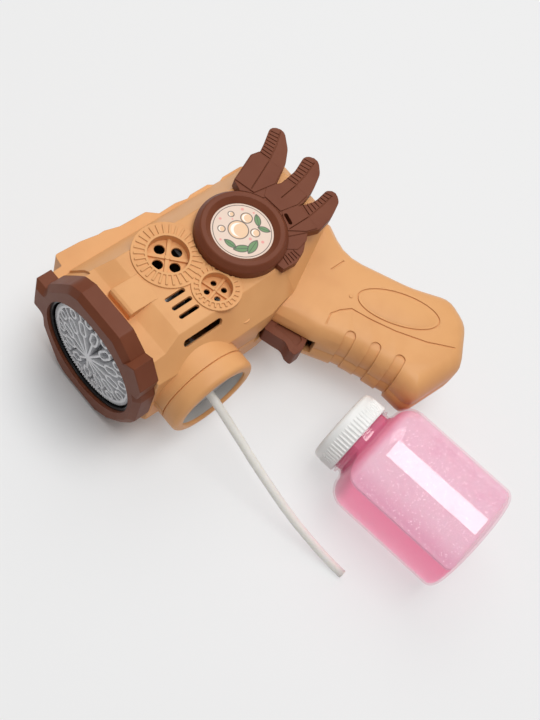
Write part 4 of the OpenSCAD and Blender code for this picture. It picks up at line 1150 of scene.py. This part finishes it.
        rib = tree.node("GeometryNodeCurveToMesh", Curve=bar.outputs[0], Profile_Curve=round_bar.outputs[0],
                        Scale=taper.outputs[0], Fill_Caps=True)
        copies = tree.node("GeometryNodeInstanceOnPoints", Points=ring.outputs[0], Instance=rib.outputs[0])
        soft = tree.node("GeometryNodeSetShadeSmooth", Geometry=copies.outputs[0])
        ribs = tree.grow(soft.outputs[0], bpy.data.meshes.new("cap_ribs_base"), material)
        ribs.transform(Matrix.Translation(Vector((*self.mouth, self.radius)) * MM) @ self.lay().to_3x3().to_4x4())
        new_piece(ribs, material, Body.CAP.value, name="cap_ribs")
        return new_piece(mesh, material, Body.CAP.value, stands_for="bottle_cap")


@dataclass
class Trim:
    """Raised block on the bezel's lower left corner, and the swollen palm panels on both sides of the handle."""

    block: tuple[tuple[float, float], ...] = (
        (-26.0, 38.0), (-31.5, 41.0), (-39.5, 28.0), (-38.5, 18.0), (-34.8, 16.6), (-22.5, 33.0))
    block_ends: tuple[tuple[float, float], ...] = ((-0.04, 0.97), (0.5, 1.0), (11.9, 0.97))
    palm_centre: tuple[float, float] = (155.5, -80.7)
    palm_half: tuple[float, float] = (24.2, 10.2)
    palm_turn: float = -54.0
    palm_face: float = 17.5
    palm_swell: float = 1.3
    rings: int = 8
    steps: int = 64

    def finish(self, name: str, bm: bmesh.types.BMesh, material: bpy.types.Material,
               mirrored: bool) -> bpy.types.Object:
        """Turns a solid into a piece.

        Args:
            name: Name of the piece.
            bm: The solid on the left side, in the blower's millimetres.
            material: Finish of the piece.
            mirrored: Whether the right side has the same.

        Returns:
            The piece.
        """
        both = bmesh.ops.duplicate(bm, geom=[*bm.verts, *bm.edges, *bm.faces])["geom"] if mirrored else []
        for vert in (v for v in both if isinstance(v, bmesh.types.BMVert)):
            vert.co.z = -vert.co.z
        for vert in bm.verts:
            vert.co = spot(*vert.co)
        bmesh.ops.recalc_face_normals(bm, faces=bm.faces)
        return new_piece(closed(bm, name, 25.0), material, Body.BLOWER.value)

    def build_block(self, material: bpy.types.Material) -> bpy.types.Object:
        """Makes the block on the bezel's corner.

        Args:
            material: Finish of the bezel.

        Returns:
            The block.
        """
        bm = bmesh.new()
        middle = [sum(p[k] for p in self.block) / len(self.block) for k in (0, 1)]
        rows = []
        for x, share in self.block_ends:
            rows.append([bm.verts.new((x, *[m + (c - m) * share for c, m in zip(p, middle)])) for p in self.block])
        bridge(bm, rows, smooth=False)
        bm.faces.new(rows[0])
        bm.faces.new(rows[-1])
        return self.finish("bezel_block", bm, material, False)

    def build_palms(self, material: bpy.types.Material) -> bpy.types.Object:
        """Makes the swollen palm panels inside their oval grooves.

        Args:
            material: Finish of the handle.

        Returns:
            The panels.
        """
        bm = bmesh.new()
        turn = math.radians(self.palm_turn)
        rows = []
        for k in range(self.rings + 1):
            share = 1.0 - k / self.rings
            high = self.palm_face + self.palm_swell * (1.0 - share * share) - (0.4 if k == 0 else 0.0)
            row = []
            for j in range(self.steps if share > 0 else 1):
                angle = 2 * math.pi * j / self.steps
                u, v = share * self.palm_half[0] * math.cos(angle), share * self.palm_half[1] * math.sin(angle)
                x = self.palm_centre[0] + u * math.cos(turn) - v * math.sin(turn)
                y = self.palm_centre[1] + u * math.sin(turn) + v * math.cos(turn)
                row.append(bm.verts.new((x, y, high)))
            rows.append(row)
        bridge(bm, rows)
        bm.faces.new(rows[0])
        return self.finish("palm_panels", bm, material, True)


@dataclass
class Skins:
    """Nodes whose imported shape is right: a welded copy with the finish of its slot stands for each."""

    materials: dict[str, bpy.types.Material]
    halves: tuple[str, ...] = ("left_shell", "right_shell")
    seam: float = 0.0005
    spring_seat: tuple[float, float, float] = (122.0, -55.0, 0.0)
    spring_keep: float = 0.62
    done: set[str] = field(default_factory=set)

    def dress(self, node: str) -> bpy.types.Object:
        """Replaces one node by its smooth copy.

        Args:
            node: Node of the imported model.

        Returns:
            The copy.
        """
        slot = node_slot(node)
        mesh = welded(node, seam=self.seam if node in self.halves else 0.0)
        self.done.add(node)
        return new_piece(mesh, self.materials[slot], node_body(node), name=node + "_skin", stands_for=node)

    def dress_spring(self) -> bpy.types.Object:
        """Replaces the trigger's spring by its smooth copy, which gets a mesh of its own.

        Returns:
            The spring.
        """
        made = self.dress("trigger_spring")
        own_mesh(made)
        return made

    def rest(self, skip: Iterable[str]) -> None:
        """Dresses every node that no other piece stands for.

        Args:
            skip: Nodes that have their own pieces.
        """
        for node in frame["nodes"]:
            if node not in self.done and node not in set(skip):
                self.dress(node)


def main() -> None:
    """Builds the scene in order and reports each piece."""
    logging.basicConfig(level=logging.INFO)
    bpy.context.scene.view_settings.view_transform = "Standard"
    Viewpoint().build()
    finishes = Finishes()
    materials = {slot: getattr(finishes, name).make() for slot, name in SLOT_FINISH.items()}
    Hose().build(materials["soft_tube"])
    bottle = Bottle()
    bottle.build_wall(materials["pink_clear"])
    bottle.build_liquid(materials["pink_liquid"])
    bottle.build_foam(finishes.foam.make())
    bottle.build_cap(materials["cap_plastic"])
    trim = Trim()
    trim.build_block(materials["brown_plastic"])
    trim.build_palms(materials["caramel_plastic"])
    skins = Skins(materials)
    skins.dress_spring()
    skins.rest(skip=["suction_hose", "bottle", "bottle_liquid", "bottle_cap"])
    Studio().build()


if __name__ == "__main__":
    main()
